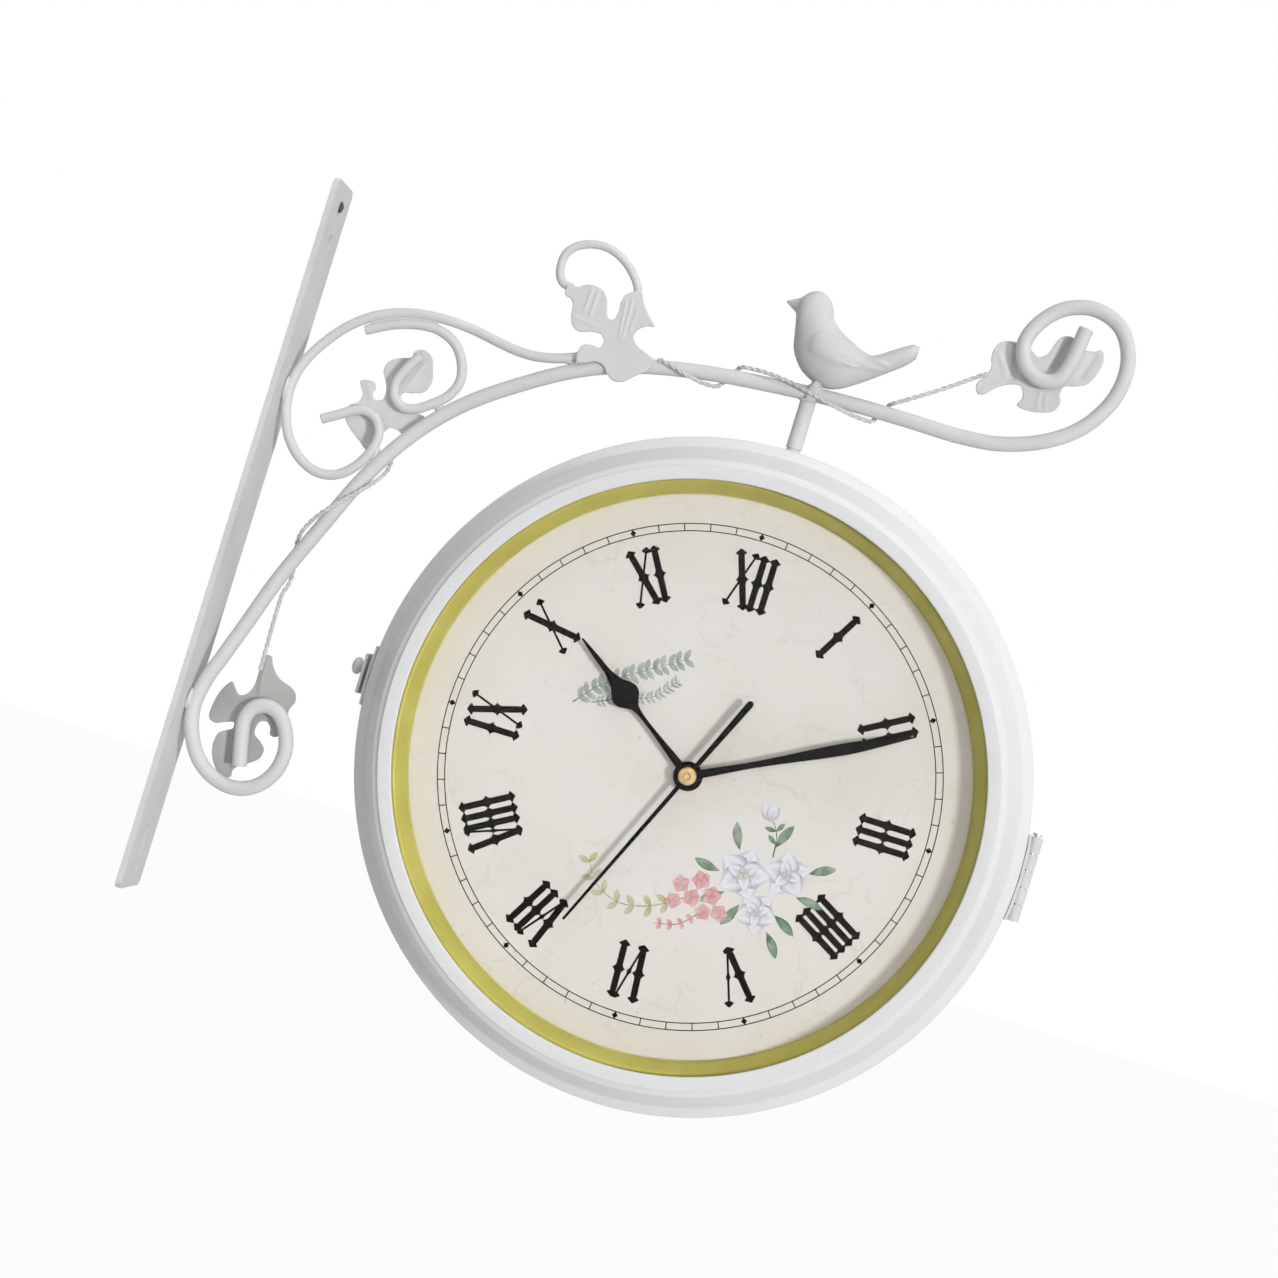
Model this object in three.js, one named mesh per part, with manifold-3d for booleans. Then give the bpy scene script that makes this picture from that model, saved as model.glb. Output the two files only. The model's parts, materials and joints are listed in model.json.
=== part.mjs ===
// Double sided station clock on a scrolled wall bracket.
// Millimetres. The origin is the centre of the wall plate's back face, +X leads
// away from the wall along the arm, the front dial faces -Y and +Z is up.

import * as THREE from 'three';
import Module from 'manifold-3d';
import { mergeVertices } from 'three/addons/utils/BufferGeometryUtils.js';

const wasm = await Module();
wasm.setup();

// ---------------------------------------------------------------- clearances
const seatGap = 0.3;
const runGap = 0.4;

// ---------------------------------------------------------------- wall plate
const plateLength = 296;
const plateWidth = 28;
const plateThickness = 2.5;
const plateCorner = 2;
const keyholeFromEnd = 16.5;
const keyholeHead = 8;
const keyholeSlot = 4.5;
const keyholeTravel = 15;
const toolReach = 1;
const rootOverlap = 1;

// ---------------------------------------------------------------- bracket rods
const armRod = 6;
const scrollRod = 4;
const tendrilRod = 3.4;
const vineWire = 2.2;
const vineLoopClearance = 0.7;
const wireSag = 0.6;
const rodSides = 8;
const wireSides = 6;
const armStep = 6;
const scrollStep = 4.6;
const wireStep = 2.3;

// ---------------------------------------------------------------- leaves, bird
const leafSheet = 1.2;
const birdHalfWidth = 9.5;
const birdHeadWidth = 6.6;
const birdLegDiameter = 4;
const birdPastStem = 1.4;

// ---------------------------------------------------------------- case
const caseReach = 206.2;
const caseRadius = 132;
const caseWall = 1.2;
const caseHalfDepth = 46;
const bandStep = 4.5;
const bandFaceSetBack = 24.5;
const coneFootSetBack = 21;
const packInset = 17.5;
const lipOverPack = 1.5;
const lipWidth = 5.3;
const shoulderWidth = 3;
const shoulderDrop = 2.6;
const seamDepth = 12;
const spigotLength = 4;
const spigotWall = 1.3;
const spigotClearance = 0.6;
const spigotRoot = 5;
const spigotFlare = 2;
const stemHoleLength = 8;
const bandSegments = 72;
const roundSegments = 40;
const barSides = 14;

// ---------------------------------------------------------------- stem
const stemDiameter = 6.4;
const stemLength = 22.47;
const studDiameter = 4;
const studClearance = 0.3;
const studLength = 13;
const washerDiameter = 9.2;
const washerThickness = 1;
const nutAcrossFlats = 7;
const nutHeight = 3.2;

// ---------------------------------------------------------------- case hinge
const hingeHeight = 34;
const hingeLeafWidth = 8.2;
const hingeLeafThickness = 1.2;
const hingeBarrelRadius = 2.6;
const hingePinRadius = 1;
const hingePinHeadRadius = 1.8;
const hingePinHeadHeight = 1;
const hingeKnuckles = 5;

// ---------------------------------------------------------------- case latch
const latchHeight = 24;
const latchPlateWidth = 8;
const latchPlateThickness = 1;
const latchBarrelRadius = 1.9;
const latchPinRadius = 0.8;
const latchAxisBehindSeam = 8;
const latchKnuckleHeight = 7.4;
const haspHeight = 16;
const haspLength = 17;
const haspThickness = 1;
const haspKnobRadius = 3.6;
const haspKnobRise = 2.2;
const keeperRibHeight = 0.7;
const keeperRibWidth = 2;
const keeperRibPlace = 0.6;
const latchPlateBehind = 3;
const latchFootSink = 0.4;
const haspKnobFlatness = 0.6;
const haspKnobNeck = 0.3;
const haspKnobPastMiddle = 1;

// ---------------------------------------------------------------- glass, dial
const glassThickness = 2;
const dialThickness = 1;
const dialSetBack = 14;
const dialHoleRadius = 4.3;
const trimRingWidth = 5.4;
const retainerThickness = 1.3;
const retainerWidth = 10.5;

// ---------------------------------------------------------------- movement
const movementSide = 56;
const movementDepth = 15.7;
const movementCorner = 3;
const bushingRadius = 4;
const bushingStand = 2.6;
const nutFlatsOverBushing = 10;
const nutThickness = 2;
const batteryRadius = 7.1;
const batteryLength = 50;
const batterySideClearance = 0.5;
const batteryBayCentre = -16.5;
const batteryFloor = 1;
const batteryStub = 1.5;
const knobRadius = 5;
const knobHeight = 5;
const knobPocketDepth = 3;
const knobAcross = 15;
const knobUp = 14;

// ---------------------------------------------------------------- hands
const hourTubeRadius = 2.6;
const minuteTubeRadius = 1.5;
const secondPinRadius = 0.6;
const handSheet = 0.7;
const hubSides = 20;
const handStackGap = 0.5;
const tubeDepth = 12;
const boreBelowTubes = 2;
const hourHandLength = 66.8;
const hourBulbCentre = 40.5;
const hourBulbHalfWidth = 5.4;
const hourHubRadius = 5.7;
const minuteHandLength = 88.2;
const minuteBulbCentre = 67.8;
const minuteBulbHalfWidth = 2.3;
const minuteHubRadius = 4.3;
const secondHandLength = 72.5;
const secondTailLength = 37.8;
const secondTipHalfWidth = 0.5;
const secondTailHalfWidth = 1.2;
const capRadius = 3.55;
const capHeight = 2.1;
const shownHour = 10;
const shownMinute = 10.5;
const shownSecond = 34;

// ---------------------------------------------------------------- materials
const paint = { color: 0xe4e6e6, roughness: 0.45, metalness: 0 };
const caseLacquer = { color: 0xe8eaeb, roughness: 0.35, metalness: 0 };
const goldLacquer = { color: 0xb9ab62, roughness: 0.4, metalness: 0.5 };
const printedPaper = { color: 0xe4ddd0, roughness: 0.8, metalness: 0 };
const clearGlass = { color: 0xdfe8e8, roughness: 0.05, metalness: 0, transparent: true, opacity: 0.25 };
const blackLacquer = { color: 0x1a1816, roughness: 0.4, metalness: 0 };
const brass = { color: 0xc9a74e, roughness: 0.3, metalness: 0.9 };
const zincSteel = { color: 0xa9adb0, roughness: 0.35, metalness: 0.9 };
const blackPlastic = { color: 0x232323, roughness: 0.55, metalness: 0 };
const batteryWrap = { color: 0x3f6f5a, roughness: 0.4, metalness: 0.2 };
const cardBoard = { color: 0xb8b2a4, roughness: 0.85, metalness: 0 };

// ---------------------------------------------------------------- helpers

// Six times the signed volume inside a closed indexed geometry.
function signedVolume(geometry) {
  const position = geometry.getAttribute('position');
  const index = geometry.getIndex().array;
  const corner = [new THREE.Vector3(), new THREE.Vector3(), new THREE.Vector3()];
  let sum = 0;
  for (let i = 0; i < index.length; i += 3) {
    corner.forEach((vertex, k) => vertex.fromBufferAttribute(position, index[i + k]));
    sum += corner[0].dot(corner[1].clone().cross(corner[2]));
  }
  return sum;
}

// A clean indexed copy whose faces all point outwards.
function closedShell(geometry) {
  const bare = geometry.clone();
  bare.deleteAttribute('normal');
  bare.deleteAttribute('uv');
  const merged = mergeVertices(bare, 1e-3);
  const index = Array.from(merged.getIndex().array);
  const kept = [];
  for (let i = 0; i < index.length; i += 3) {
    const [a, b, c] = [index[i], index[i + 1], index[i + 2]];
    if (a !== b && b !== c && a !== c) {
      kept.push(a, b, c);
    }
  }
  merged.setIndex(kept);
  if (signedVolume(merged) < 0) {
    for (let i = 0; i < kept.length; i += 3) {
      [kept[i + 1], kept[i + 2]] = [kept[i + 2], kept[i + 1]];
    }
    merged.setIndex(kept);
  }
  return merged;
}

function solidOf(geometry) {
  const shell = closedShell(geometry);
  return new wasm.Manifold(new wasm.Mesh({
    numProp: 3,
    vertProperties: new Float32Array(shell.getAttribute('position').array),
    triVerts: new Uint32Array(shell.getIndex().array),
  }));
}

function geometryOf(solid) {
  const mesh = solid.getMesh();
  const geometry = new THREE.BufferGeometry();
  geometry.setAttribute('position', new THREE.BufferAttribute(new Float32Array(mesh.vertProperties), 3));
  geometry.setIndex(Array.from(mesh.triVerts));
  return geometry;
}

function joined(first, ...others) {
  return geometryOf(others.reduce((sum, other) => sum.add(solidOf(other)), solidOf(first)));
}

function cut(body, ...tools) {
  return geometryOf(tools.reduce((rest, tool) => rest.subtract(solidOf(tool)), solidOf(body)));
}

function common(first, second) {
  return geometryOf(solidOf(first).intersect(solidOf(second)));
}

function piece(name, geometry, finish) {
  const shell = closedShell(geometry);
  shell.computeVertexNormals();
  const mesh = new THREE.Mesh(shell, new THREE.MeshStandardMaterial(finish));
  mesh.name = name;
  return mesh;
}

// A bar between two corners.
function block(low, high) {
  const size = high.map((value, k) => value - low[k]);
  const middle = high.map((value, k) => (value + low[k]) / 2);
  return new THREE.BoxGeometry(...size).translate(...middle);
}

// Round bars along each axis, from one coordinate to another.
function barAlongX(radius, from, to, y, z, sides = barSides) {
  const bar = new THREE.CylinderGeometry(radius, radius, to - from, sides);
  return bar.rotateZ(Math.PI / 2).translate((from + to) / 2, y, z);
}

function barAlongY(radius, from, to, x, z, sides = barSides) {
  const bar = new THREE.CylinderGeometry(radius, radius, to - from, sides);
  return bar.translate(x, (from + to) / 2, z);
}

function barAlongZ(radius, from, to, x = 0, y = 0, sides = barSides) {
  const bar = new THREE.CylinderGeometry(radius, radius, to - from, sides);
  return bar.rotateX(Math.PI / 2).translate(x, y, (from + to) / 2);
}

// A closed profile of [radius, height] points turned about the local Z axis.
function turned(profile, segments = roundSegments) {
  const closed = [...profile, profile[0]].map(([radius, height]) => new THREE.Vector2(radius, height));
  return new THREE.LatheGeometry(closed, segments).rotateX(Math.PI / 2);
}

// A flat ring or disc from one height to another; a zero bore makes a disc.
function ringBetween(boreRadius, outerRadius, from, to, segments = roundSegments) {
  if (boreRadius > 0) {
    const corners = [[boreRadius, from], [outerRadius, from], [outerRadius, to], [boreRadius, to]];
    return turned(corners, segments);
  }
  return barAlongZ(outerRadius, from, to, 0, 0, segments);
}

// A plate whose outline is a smooth closed curve through [across, up] points.
function stampedPlate(outline, thickness, samples = 110) {
  const loop = new THREE.CatmullRomCurve3(
    outline.map(([across, up]) => new THREE.Vector3(across, up, 0)), true, 'centripetal');
  const rim = loop.getPoints(samples).slice(0, samples).map((p) => new THREE.Vector2(p.x, p.y));
  return new THREE.ExtrudeGeometry(new THREE.Shape(rim), { depth: thickness, bevelEnabled: false });
}

// A plate whose outline is straight between [across, up] points.
function cutPlate(outline, thickness) {
  const shape = new THREE.Shape(outline.map(([across, up]) => new THREE.Vector2(across, up)));
  return new THREE.ExtrudeGeometry(shape, { depth: thickness, bevelEnabled: false });
}

// A smooth line in the bracket's middle plane through [reach, height] points.
function bentLine(points) {
  const knots = points.map(([reach, height]) => new THREE.Vector3(reach, 0, height));
  return new THREE.CatmullRomCurve3(knots, false, 'centripetal');
}

// A round rod of even thickness along a curve, closed at both ends.
function rodAlong(line, diameter, stepLength, sides = rodSides) {
  const section = new THREE.Shape();
  for (let k = 0; k < sides; k += 1) {
    const angle = (2 * Math.PI * k) / sides;
    const [x, y] = [diameter / 2 * Math.cos(angle), diameter / 2 * Math.sin(angle)];
    if (k === 0) {
      section.moveTo(x, y);
    } else {
      section.lineTo(x, y);
    }
  }
  const steps = Math.round(line.getLength() / stepLength);
  return new THREE.ExtrudeGeometry(section, { steps, bevelEnabled: false, extrudePath: line });
}

// ---------------------------------------------------------------- wall plate

// One keyhole, its round mouth below its narrow slot, as a tool for cutting.
function keyholeTool(middleHeight) {
  const [back, front] = [-plateThickness, 2 * plateThickness];
  const mouth = middleHeight - keyholeTravel / 2;
  const top = middleHeight + keyholeTravel / 2;
  const slot = block([back, -keyholeSlot / 2, mouth], [front, keyholeSlot / 2, top]);
  const head = barAlongX(keyholeHead / 2, back, front, 0, mouth);
  const end = barAlongX(keyholeSlot / 2, back, front, 0, top);
  return joined(slot, head, end);
}

function wallPlate() {
  const [halfWidth, halfLength] = [plateWidth / 2, plateLength / 2];
  const outline = [
    [-halfWidth + plateCorner, -halfLength], [halfWidth - plateCorner, -halfLength],
    [halfWidth, -halfLength + plateCorner], [halfWidth, halfLength - plateCorner],
    [halfWidth - plateCorner, halfLength], [-halfWidth + plateCorner, halfLength],
    [-halfWidth, halfLength - plateCorner], [-halfWidth, -halfLength + plateCorner],
  ];
  const keyholeHeight = halfLength - keyholeFromEnd;
  // The outline is drawn in Y and Z, then stood up with its thickness along X.
  const plate = cutPlate(outline, plateThickness).rotateY(Math.PI / 2).rotateX(Math.PI / 2);
  const upright = cut(plate, keyholeTool(keyholeHeight), keyholeTool(-keyholeHeight));
  return piece('wall_plate', upright, paint);
}

// ---------------------------------------------------------------- bracket rods
// The routes are given as reach from the plate's outer face, and height.

const fromPlate = plateThickness + seatGap;

function route(points, firstReach = 0) {
  return points.map(([reach, height]) => [reach + fromPlate + firstReach, height]);
}

// From the hook of the foot scroll, up past the plate, over the clock and round
// the end scroll to its hook.
const armLine = bentLine(route([
  [25, -88.5], [22.6, -78], [21.4, -69.5], [23.7, -64.3], [28.2, -62.2], [33.2, -63.2],
  [37.8, -68], [41, -77], [39.6, -86.5], [34.2, -93.8], [25.7, -97.4], [16.7, -96],
  [8.7, -91], [3.2, -83], [0.5, -75], [0, -68.5], [1.6, -59], [5.6, -47.5],
  [11.2, -31], [17.2, -13], [27.2, 11], [39.7, 39], [52.7, 59.5], [67.7, 75.8],
  [88.2, 91], [111.2, 104.2], [132.1, 111.6], [156.2, 116.4], [184.2, 119.4], [214.2, 121.2],
  [239.2, 121.4], [262.2, 121.2], [278.2, 123], [295.4, 129.6], [307.7, 139.5], [315.5, 154],
  [316, 168.5], [309.7, 180], [298.7, 184.6], [287.2, 181.6], [278.7, 173.4], [275.2, 163.5],
  [278.4, 155.3], [285.6, 151.6], [291.6, 153.4], [294.5, 160], [296.8, 176],
], armRod / 2));

// From the top leaf back along the arm, round the plate and in under itself.
const upperScrollLine = bentLine(route([
  [111.8, 109.9], [105.4, 107], [99.2, 105], [92, 103.6], [84.4, 103.5], [76.5, 104.6],
  [63.1, 106.8], [49.7, 107.3], [36.4, 105.4], [24.8, 100.8], [15.8, 94.1], [8.4, 85.3],
  [3, 76.2], [0.3, 67.5], [0.2, 58.5], [2.4, 50], [6.4, 42.6], [13.2, 36.4],
  [21.4, 33.6], [29, 35.2], [35.6, 41.2], [39.6, 49.4], [40, 56.3], [37.4, 61],
  [32.7, 62.9], [27.6, 61.8], [22.7, 58.7], [15.9, 54.6],
], scrollRod / 2));

// The small scroll inside the upper one.
const innerScrollLine = bentLine(route([
  [22.4, 94], [32.2, 99.2], [42.8, 102.3], [51.6, 102.4], [59.3, 98.9], [64.1, 92],
  [65.4, 84.6], [62.6, 78.2], [57.4, 73.4], [51.6, 69.6], [45.8, 68.8], [41.5, 72.4],
  [40.7, 77.6], [43, 83.7], [47, 90.6],
], scrollRod / 2));

// The thin loop over the top leaf, lying behind the leaf's two upper lobes.
const tendrilLine = bentLine(route([
  [100.2, 133.9], [97.7, 134.1], [95.4, 135], [93.6, 137.6], [92.8, 141.2], [92.9, 144.4],
  [93.8, 147.2], [95.9, 149.7], [98.8, 151.6], [102, 152.8], [105.9, 153.4], [109.9, 153.1],
  [114, 151.7], [117.8, 149.5], [121.2, 146.5], [123.9, 143.3], [125.5, 140.2], [126.2, 135.5],
]));

const leafInFront = -armRod / 2 - seatGap - leafSheet;
const leafBehind = armRod / 2 + seatGap;
const tendrilDepth = leafInFront + leafSheet + seatGap + tendrilRod / 2;

function mainArm() {
  return piece('main_arm', rodAlong(armLine, armRod, armStep), paint);
}

function upperScroll() {
  return piece('upper_scroll', rodAlong(upperScrollLine, scrollRod, scrollStep), paint);
}

function innerScroll() {
  return piece('inner_scroll', rodAlong(innerScrollLine, scrollRod, scrollStep), paint);
}

function tendrilTop() {
  const loop = rodAlong(tendrilLine, tendrilRod, scrollStep).translate(0, tendrilDepth, 0);
  return piece('tendril_top', loop, paint);
}

// ---------------------------------------------------------------- leaves

// A leaf cut from sheet, upright in the bracket's plane, its near face at depth.
function leaf(name, outline, depth) {
  const sheet = stampedPlate(outline.map(([reach, height]) => [reach + fromPlate, height]), leafSheet);
  return piece(name, sheet.rotateX(Math.PI / 2).translate(0, depth + leafSheet, 0), paint);
}

const topLeafOutline = [
  [97.8, 132], [98.2, 134.3], [102.2, 134.6], [105.4, 136.4], [108.8, 136.9], [112.4, 136],
  [114.8, 133.4], [116.2, 129], [117.8, 126], [120, 126.2], [120.9, 130], [120.6, 134],
  [121.8, 137], [124.8, 139.4], [127.6, 139.6], [129.4, 136], [133.2, 131.4], [136.4, 128],
  [133.6, 127.4], [130.4, 124.8], [129.7, 121.6], [132, 118.8], [137.8, 116.4], [140.8, 114.6],
  [138.8, 110.4], [134.8, 107], [130.8, 103.4], [127.2, 102.6], [124.1, 104.2], [121.4, 107.2],
  [117.6, 107.9], [114, 106.2], [110.8, 105.6], [109.9, 108.6], [111, 112.8], [114.6, 113.9],
  [118, 113.8], [118.8, 116.4], [116.8, 119], [112.6, 118.9], [107.8, 117.6], [104.6, 119.4],
  [103.1, 123], [102.4, 127], [100.8, 129.4], [98.6, 129.9],
];

const endLeafOutline = [
  [264.9, 143.3], [267, 147.5], [268.6, 151.3], [267.4, 156], [268.2, 160.8], [270.6, 163],
  [276.2, 164], [281.7, 162.4], [285.2, 160.8], [288.4, 163], [289.8, 167.2], [291.6, 170.8],
  [295.8, 172.2], [298.4, 169.3], [302, 168.6], [305.9, 169.3], [308.4, 170.6], [310.2, 167],
  [309.4, 161.5], [306.7, 156], [302.7, 153.8], [298.2, 152.2], [297.5, 148.7], [298.7, 145.8],
  [297.2, 142], [292.2, 139.9], [287.2, 139.2], [282.6, 140], [283.8, 143.6], [281.8, 147.6],
  [277.2, 147], [272.7, 144.2], [268.7, 140.4], [266.5, 140.2],
];

const footLeafOutline = [
  [23.8, -43], [26.1, -42.8], [27.4, -45.6], [29.6, -48.6], [32.8, -50.9], [37, -52.3],
  [39.6, -54.3], [40.6, -57.6], [39.4, -61.2], [40.2, -66], [39.6, -71], [37.4, -73.4],
  [35.2, -73], [34.6, -70.4], [32.4, -68.4], [29.8, -69.3], [28.8, -72], [29.2, -74.8],
  [32, -76.9], [34.2, -79.4], [33.6, -83.4], [30.4, -86.4], [26.8, -88.6], [24.6, -91.2],
  [24.4, -94.2], [21.2, -94.8], [17.8, -92.4], [15.2, -88.2], [14.1, -83], [15, -78.6],
  [17.5, -76.6], [20, -75], [19.8, -72.6], [16.6, -73.4], [12.4, -75], [9.4, -73.8], [8.8, -70],
  [9.8, -63.6], [11.8, -59.4], [14, -57.2], [15.8, -59], [18.4, -61.4], [21.4, -60], [23.2, -56],
  [23.3, -50],
];

const scrollLeafOutline = [
  [27.9, 74.2], [30.6, 75.4], [33.6, 75.2], [34.7, 73], [34.2, 70.6], [35.4, 68.8], [38.6, 69.4],
  [39.2, 72.5], [38, 76.4], [35.6, 81], [36.4, 84.8], [40.2, 87.6], [44.6, 89.4], [45.4, 92.2],
  [48.8, 93.6], [52.6, 91.8], [54.6, 87], [55.7, 82], [54, 77.4], [50, 75.6], [45.8, 74.4],
  [46, 70.8], [50.7, 68.6], [55.8, 68.2], [58.8, 66.8], [57.2, 62], [52, 58], [48.4, 59.4],
  [45, 59.6], [43.2, 57], [41.6, 51], [38.2, 48.2], [34.2, 50.9], [28.8, 55], [25.8, 59],
  [26.4, 63.4], [29.6, 65.8], [30.4, 69], [28.8, 72],
];

// ---------------------------------------------------------------- vine wires
// Each wire winds round the arm. A stop says how far along the arm the wire is,
// as a share of the arm's length, and how far round it, in quarter turns from
// the top: one is the front, two is underneath, three is behind.

const coilRadius = armRod / 2 + vineWire / 2 + vineLoopClearance;
const stepsPerLoop = 24;

function pointRoundArm(share, quarters) {
  const centre = armLine.getPointAt(share);
  const along = armLine.getTangentAt(share);
  const front = new THREE.Vector3(0, -1, 0);
  const up = new THREE.Vector3(-along.z, 0, along.x);
  const angle = quarters * Math.PI / 2;
  return centre
    .addScaledVector(up, coilRadius * Math.cos(angle))
    .addScaledVector(front, coilRadius * Math.sin(angle));
}

// The wound stretch between stops, with steps shared out by angle.
function woundPoints(stops) {
  const points = [];
  for (let k = 0; k + 1 < stops.length; k += 1) {
    const [from, to] = [stops[k], stops[k + 1]];
    const count = Math.max(2, Math.round(Math.abs(to[1] - from[1]) / 4 * stepsPerLoop));
    for (let i = 0; i < count; i += 1) {
      const share = from[0] + (to[0] - from[0]) * i / count;
      const quarters = from[1] + (to[1] - from[1]) * i / count;
      points.push(pointRoundArm(share, quarters));
    }
  }
  points.push(pointRoundArm(...stops[stops.length - 1]));
  return points;
}

// Least clear distance between stretches of one wire that lie over a turn apart.
function leastSelfGap(line, diameter) {
  const points = line.getSpacedPoints(Math.round(line.getLength()));
  const apart = Math.round(Math.PI * coilRadius);
  let least = Infinity;
  points.forEach((point, i) => {
    for (let j = i + apart; j < points.length; j += 1) {
      least = Math.min(least, point.distanceTo(points[j]));
    }
  });
  return least - diameter;
}

function vineWirePiece(name, points) {
  const line = new THREE.CatmullRomCurve3(points, false, 'centripetal');
  console.log(`${name}: least gap to itself ${leastSelfGap(line, vineWire).toFixed(2)} mm`);
  return piece(name, rodAlong(line, vineWire, wireStep, wireSides), paint);
}

// Where the arm stands at a given reach, as a share of its length, between its
// two scrolls.
function shareAtReach(reach) {
  const samples = 800;
  let best = 0;
  let miss = Infinity;
  for (let k = samples / 5; k <= samples * 3 / 4; k += 1) {
    const off = Math.abs(armLine.getPointAt(k / samples).x - reach);
    if (off < miss) {
      [best, miss] = [k / samples, off];
    }
  }
  return best;
}

// A wire's end, lying over the stem at the start of a leaf's outline.
function endOnLeaf(outline, across, up) {
  const [reach, height] = outline[0];
  const depth = leafBehind - seatGap - vineWire / 2;
  return new THREE.Vector3(reach + across + fromPlate, depth, height + up);
}

// The outer wire starts by the top leaf and passes between bird and stem.
function vineWireOuter() {
  const stops = [
    [144.8, 0.6], [168, 2], [178, 4], [caseReach - 0.2, 5], [caseReach + 24.8, 6], [caseReach + 32.8, 8],
  ];
  const wound = woundPoints(stops.map(([reach, quarters]) => [shareAtReach(reach), quarters]));
  const leafEnd = endOnLeaf(endLeafOutline, 3.2, 5.4);
  const last = wound[wound.length - 1];
  const middle = last.clone().lerp(leafEnd, 0.5).add(new THREE.Vector3(0, 0, -wireSag));
  return vineWirePiece('vine_wire_outer', [...wound, middle, leafEnd]);
}

function vineWireLower() {
  const stops = [[52, 3], [47, 2], [31, 0], [22.5, -2]];
  const wound = woundPoints(stops.map(([reach, quarters]) => [shareAtReach(reach), quarters]));
  return vineWirePiece('vine_wire_lower', [...wound, endOnLeaf(footLeafOutline, 0.3, -6.5)]);
}

// ---------------------------------------------------------------- bird

function armHeightAt(reach) {
  return armLine.getPointAt(shareAtReach(reach)).z;
}

// The bird's stations along its spine: reach and height from the arm's top at the
// leg, half height, and half width as a share of the body's.
const birdStations = [
  [-12.8, 15.6, 2.6, 0.3], [-9.6, 15.2, 9.4, 0.78], [-3.2, 14.4, 12.2, 1],
  [3.8, 12.6, 11.2, 0.97], [11, 11.3, 8.6, 0.8], [18, 12.8, 5.8, 0.6],
  [25, 18, 4.8, 0.58], [31, 22.8, 4, 0.6], [35, 25.6, 1.8, 0.42],
];
const birdReach = caseReach + birdPastStem;
const birdHeadCentre = [-8, 29.2];
const birdHeadSize = [7, 8.5];
const beakRoot = [-13.4, 30.6];
const beakTip = [-21.4, 29.1];
const beakRadius = 2.9;
const beakTipRadius = 0.5;

// Ellipses carried along the spine, square to it, closed by a point at each end.
function loftedBody(stations, halfWidth, around = 12) {
  const centres = stations.map(([reach, height]) => new THREE.Vector3(reach, 0, height));
  const positions = [];
  const faces = [];
  stations.forEach((station, k) => {
    const before = centres[Math.max(0, k - 1)];
    const after = centres[Math.min(centres.length - 1, k + 1)];
    const along = after.clone().sub(before).normalize();
    const up = new THREE.Vector3(-along.z, 0, along.x);
    for (let i = 0; i < around; i += 1) {
      const angle = 2 * Math.PI * i / around;
      const point = centres[k].clone()
        .addScaledVector(up, station[2] * Math.cos(angle))
        .add(new THREE.Vector3(0, halfWidth * station[3] * Math.sin(angle), 0));
      positions.push(point.x, point.y, point.z);
    }
  });
  for (let k = 0; k + 1 < stations.length; k += 1) {
    for (let i = 0; i < around; i += 1) {
      const [a, b] = [k * around + i, k * around + (i + 1) % around];
      faces.push(a, b, a + around, b, b + around, a + around);
    }
  }
  [0, stations.length - 1].forEach((k) => {
    const pole = positions.length / 3;
    positions.push(centres[k].x, 0, centres[k].z);
    for (let i = 0; i < around; i += 1) {
      const [a, b] = [k * around + i, k * around + (i + 1) % around];
      faces.push(...(k === 0 ? [pole, b, a] : [pole, a, b]));
    }
  });
  const geometry = new THREE.BufferGeometry();
  geometry.setAttribute('position', new THREE.Float32BufferAttribute(positions, 3));
  geometry.setIndex(faces);
  return geometry;
}

function bird() {
  const body = loftedBody(birdStations, birdHalfWidth);
  const head = new THREE.SphereGeometry(1, barSides, barSides / 2 + 2)
    .scale(birdHeadSize[0], birdHeadWidth, birdHeadSize[1])
    .translate(birdHeadCentre[0], 0, birdHeadCentre[1]);
  const beakLength = beakRoot[0] - beakTip[0];
  const beak = new THREE.CylinderGeometry(beakTipRadius, beakRadius, beakLength, barSides)
    .rotateZ(Math.PI / 2)
    .translate((beakRoot[0] + beakTip[0]) / 2, 0, (beakRoot[1] + beakTip[1]) / 2);
  const leg = barAlongZ(birdLegDiameter / 2, 0, birdStations[2][1]);
  const perch = armHeightAt(birdReach) + armRod / 2 + seatGap;
  const whole = joined(body, head, beak, leg).translate(birdReach, 0, perch);
  return piece('bird', whole, paint);
}

// ---------------------------------------------------------------- stem

const stemTop = armHeightAt(caseReach) - armRod / 2 - seatGap;
const stemFoot = stemTop - stemLength;
const caseHeight = stemFoot - seatGap - caseRadius;

function stemTube() {
  const tube = barAlongZ(stemDiameter / 2, stemFoot, stemTop, caseReach, 0);
  const stud = barAlongZ(studDiameter / 2, stemFoot - studLength, stemFoot + rootOverlap, caseReach, 0);
  return piece('stem_tube', joined(tube, stud), paint);
}

const wallOverWasher = Math.sqrt((caseRadius - caseWall) ** 2 - (washerDiameter / 2) ** 2);
const washerTop = caseHeight + wallOverWasher - 2 * seatGap;

function stemWasher() {
  const bore = studDiameter / 2 + studClearance;
  const ring = ringBetween(bore, washerDiameter / 2, washerTop - washerThickness, washerTop, barSides);
  return piece('stem_washer', ring.translate(caseReach, 0, 0), zincSteel);
}

// A six sided nut, its bore clear of what runs through it.
function hexNut(acrossFlats, boreRadius, from, to) {
  const outside = barAlongZ(acrossFlats / Math.sqrt(3), from, to, 0, 0, 6);
  return cut(outside, barAlongZ(boreRadius, from - toolReach, to + toolReach));
}

function stemNut() {
  const top = washerTop - washerThickness - seatGap;
  const nut = hexNut(nutAcrossFlats, studDiameter / 2 + studClearance, top - nutHeight, top);
  return piece('stem_nut', nut.translate(caseReach, 0, 0), zincSteel);
}

// ---------------------------------------------------------------- case shells
// Each half is modelled facing its own viewer: across, up, and outwards from the
// clock's middle plane.

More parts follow.
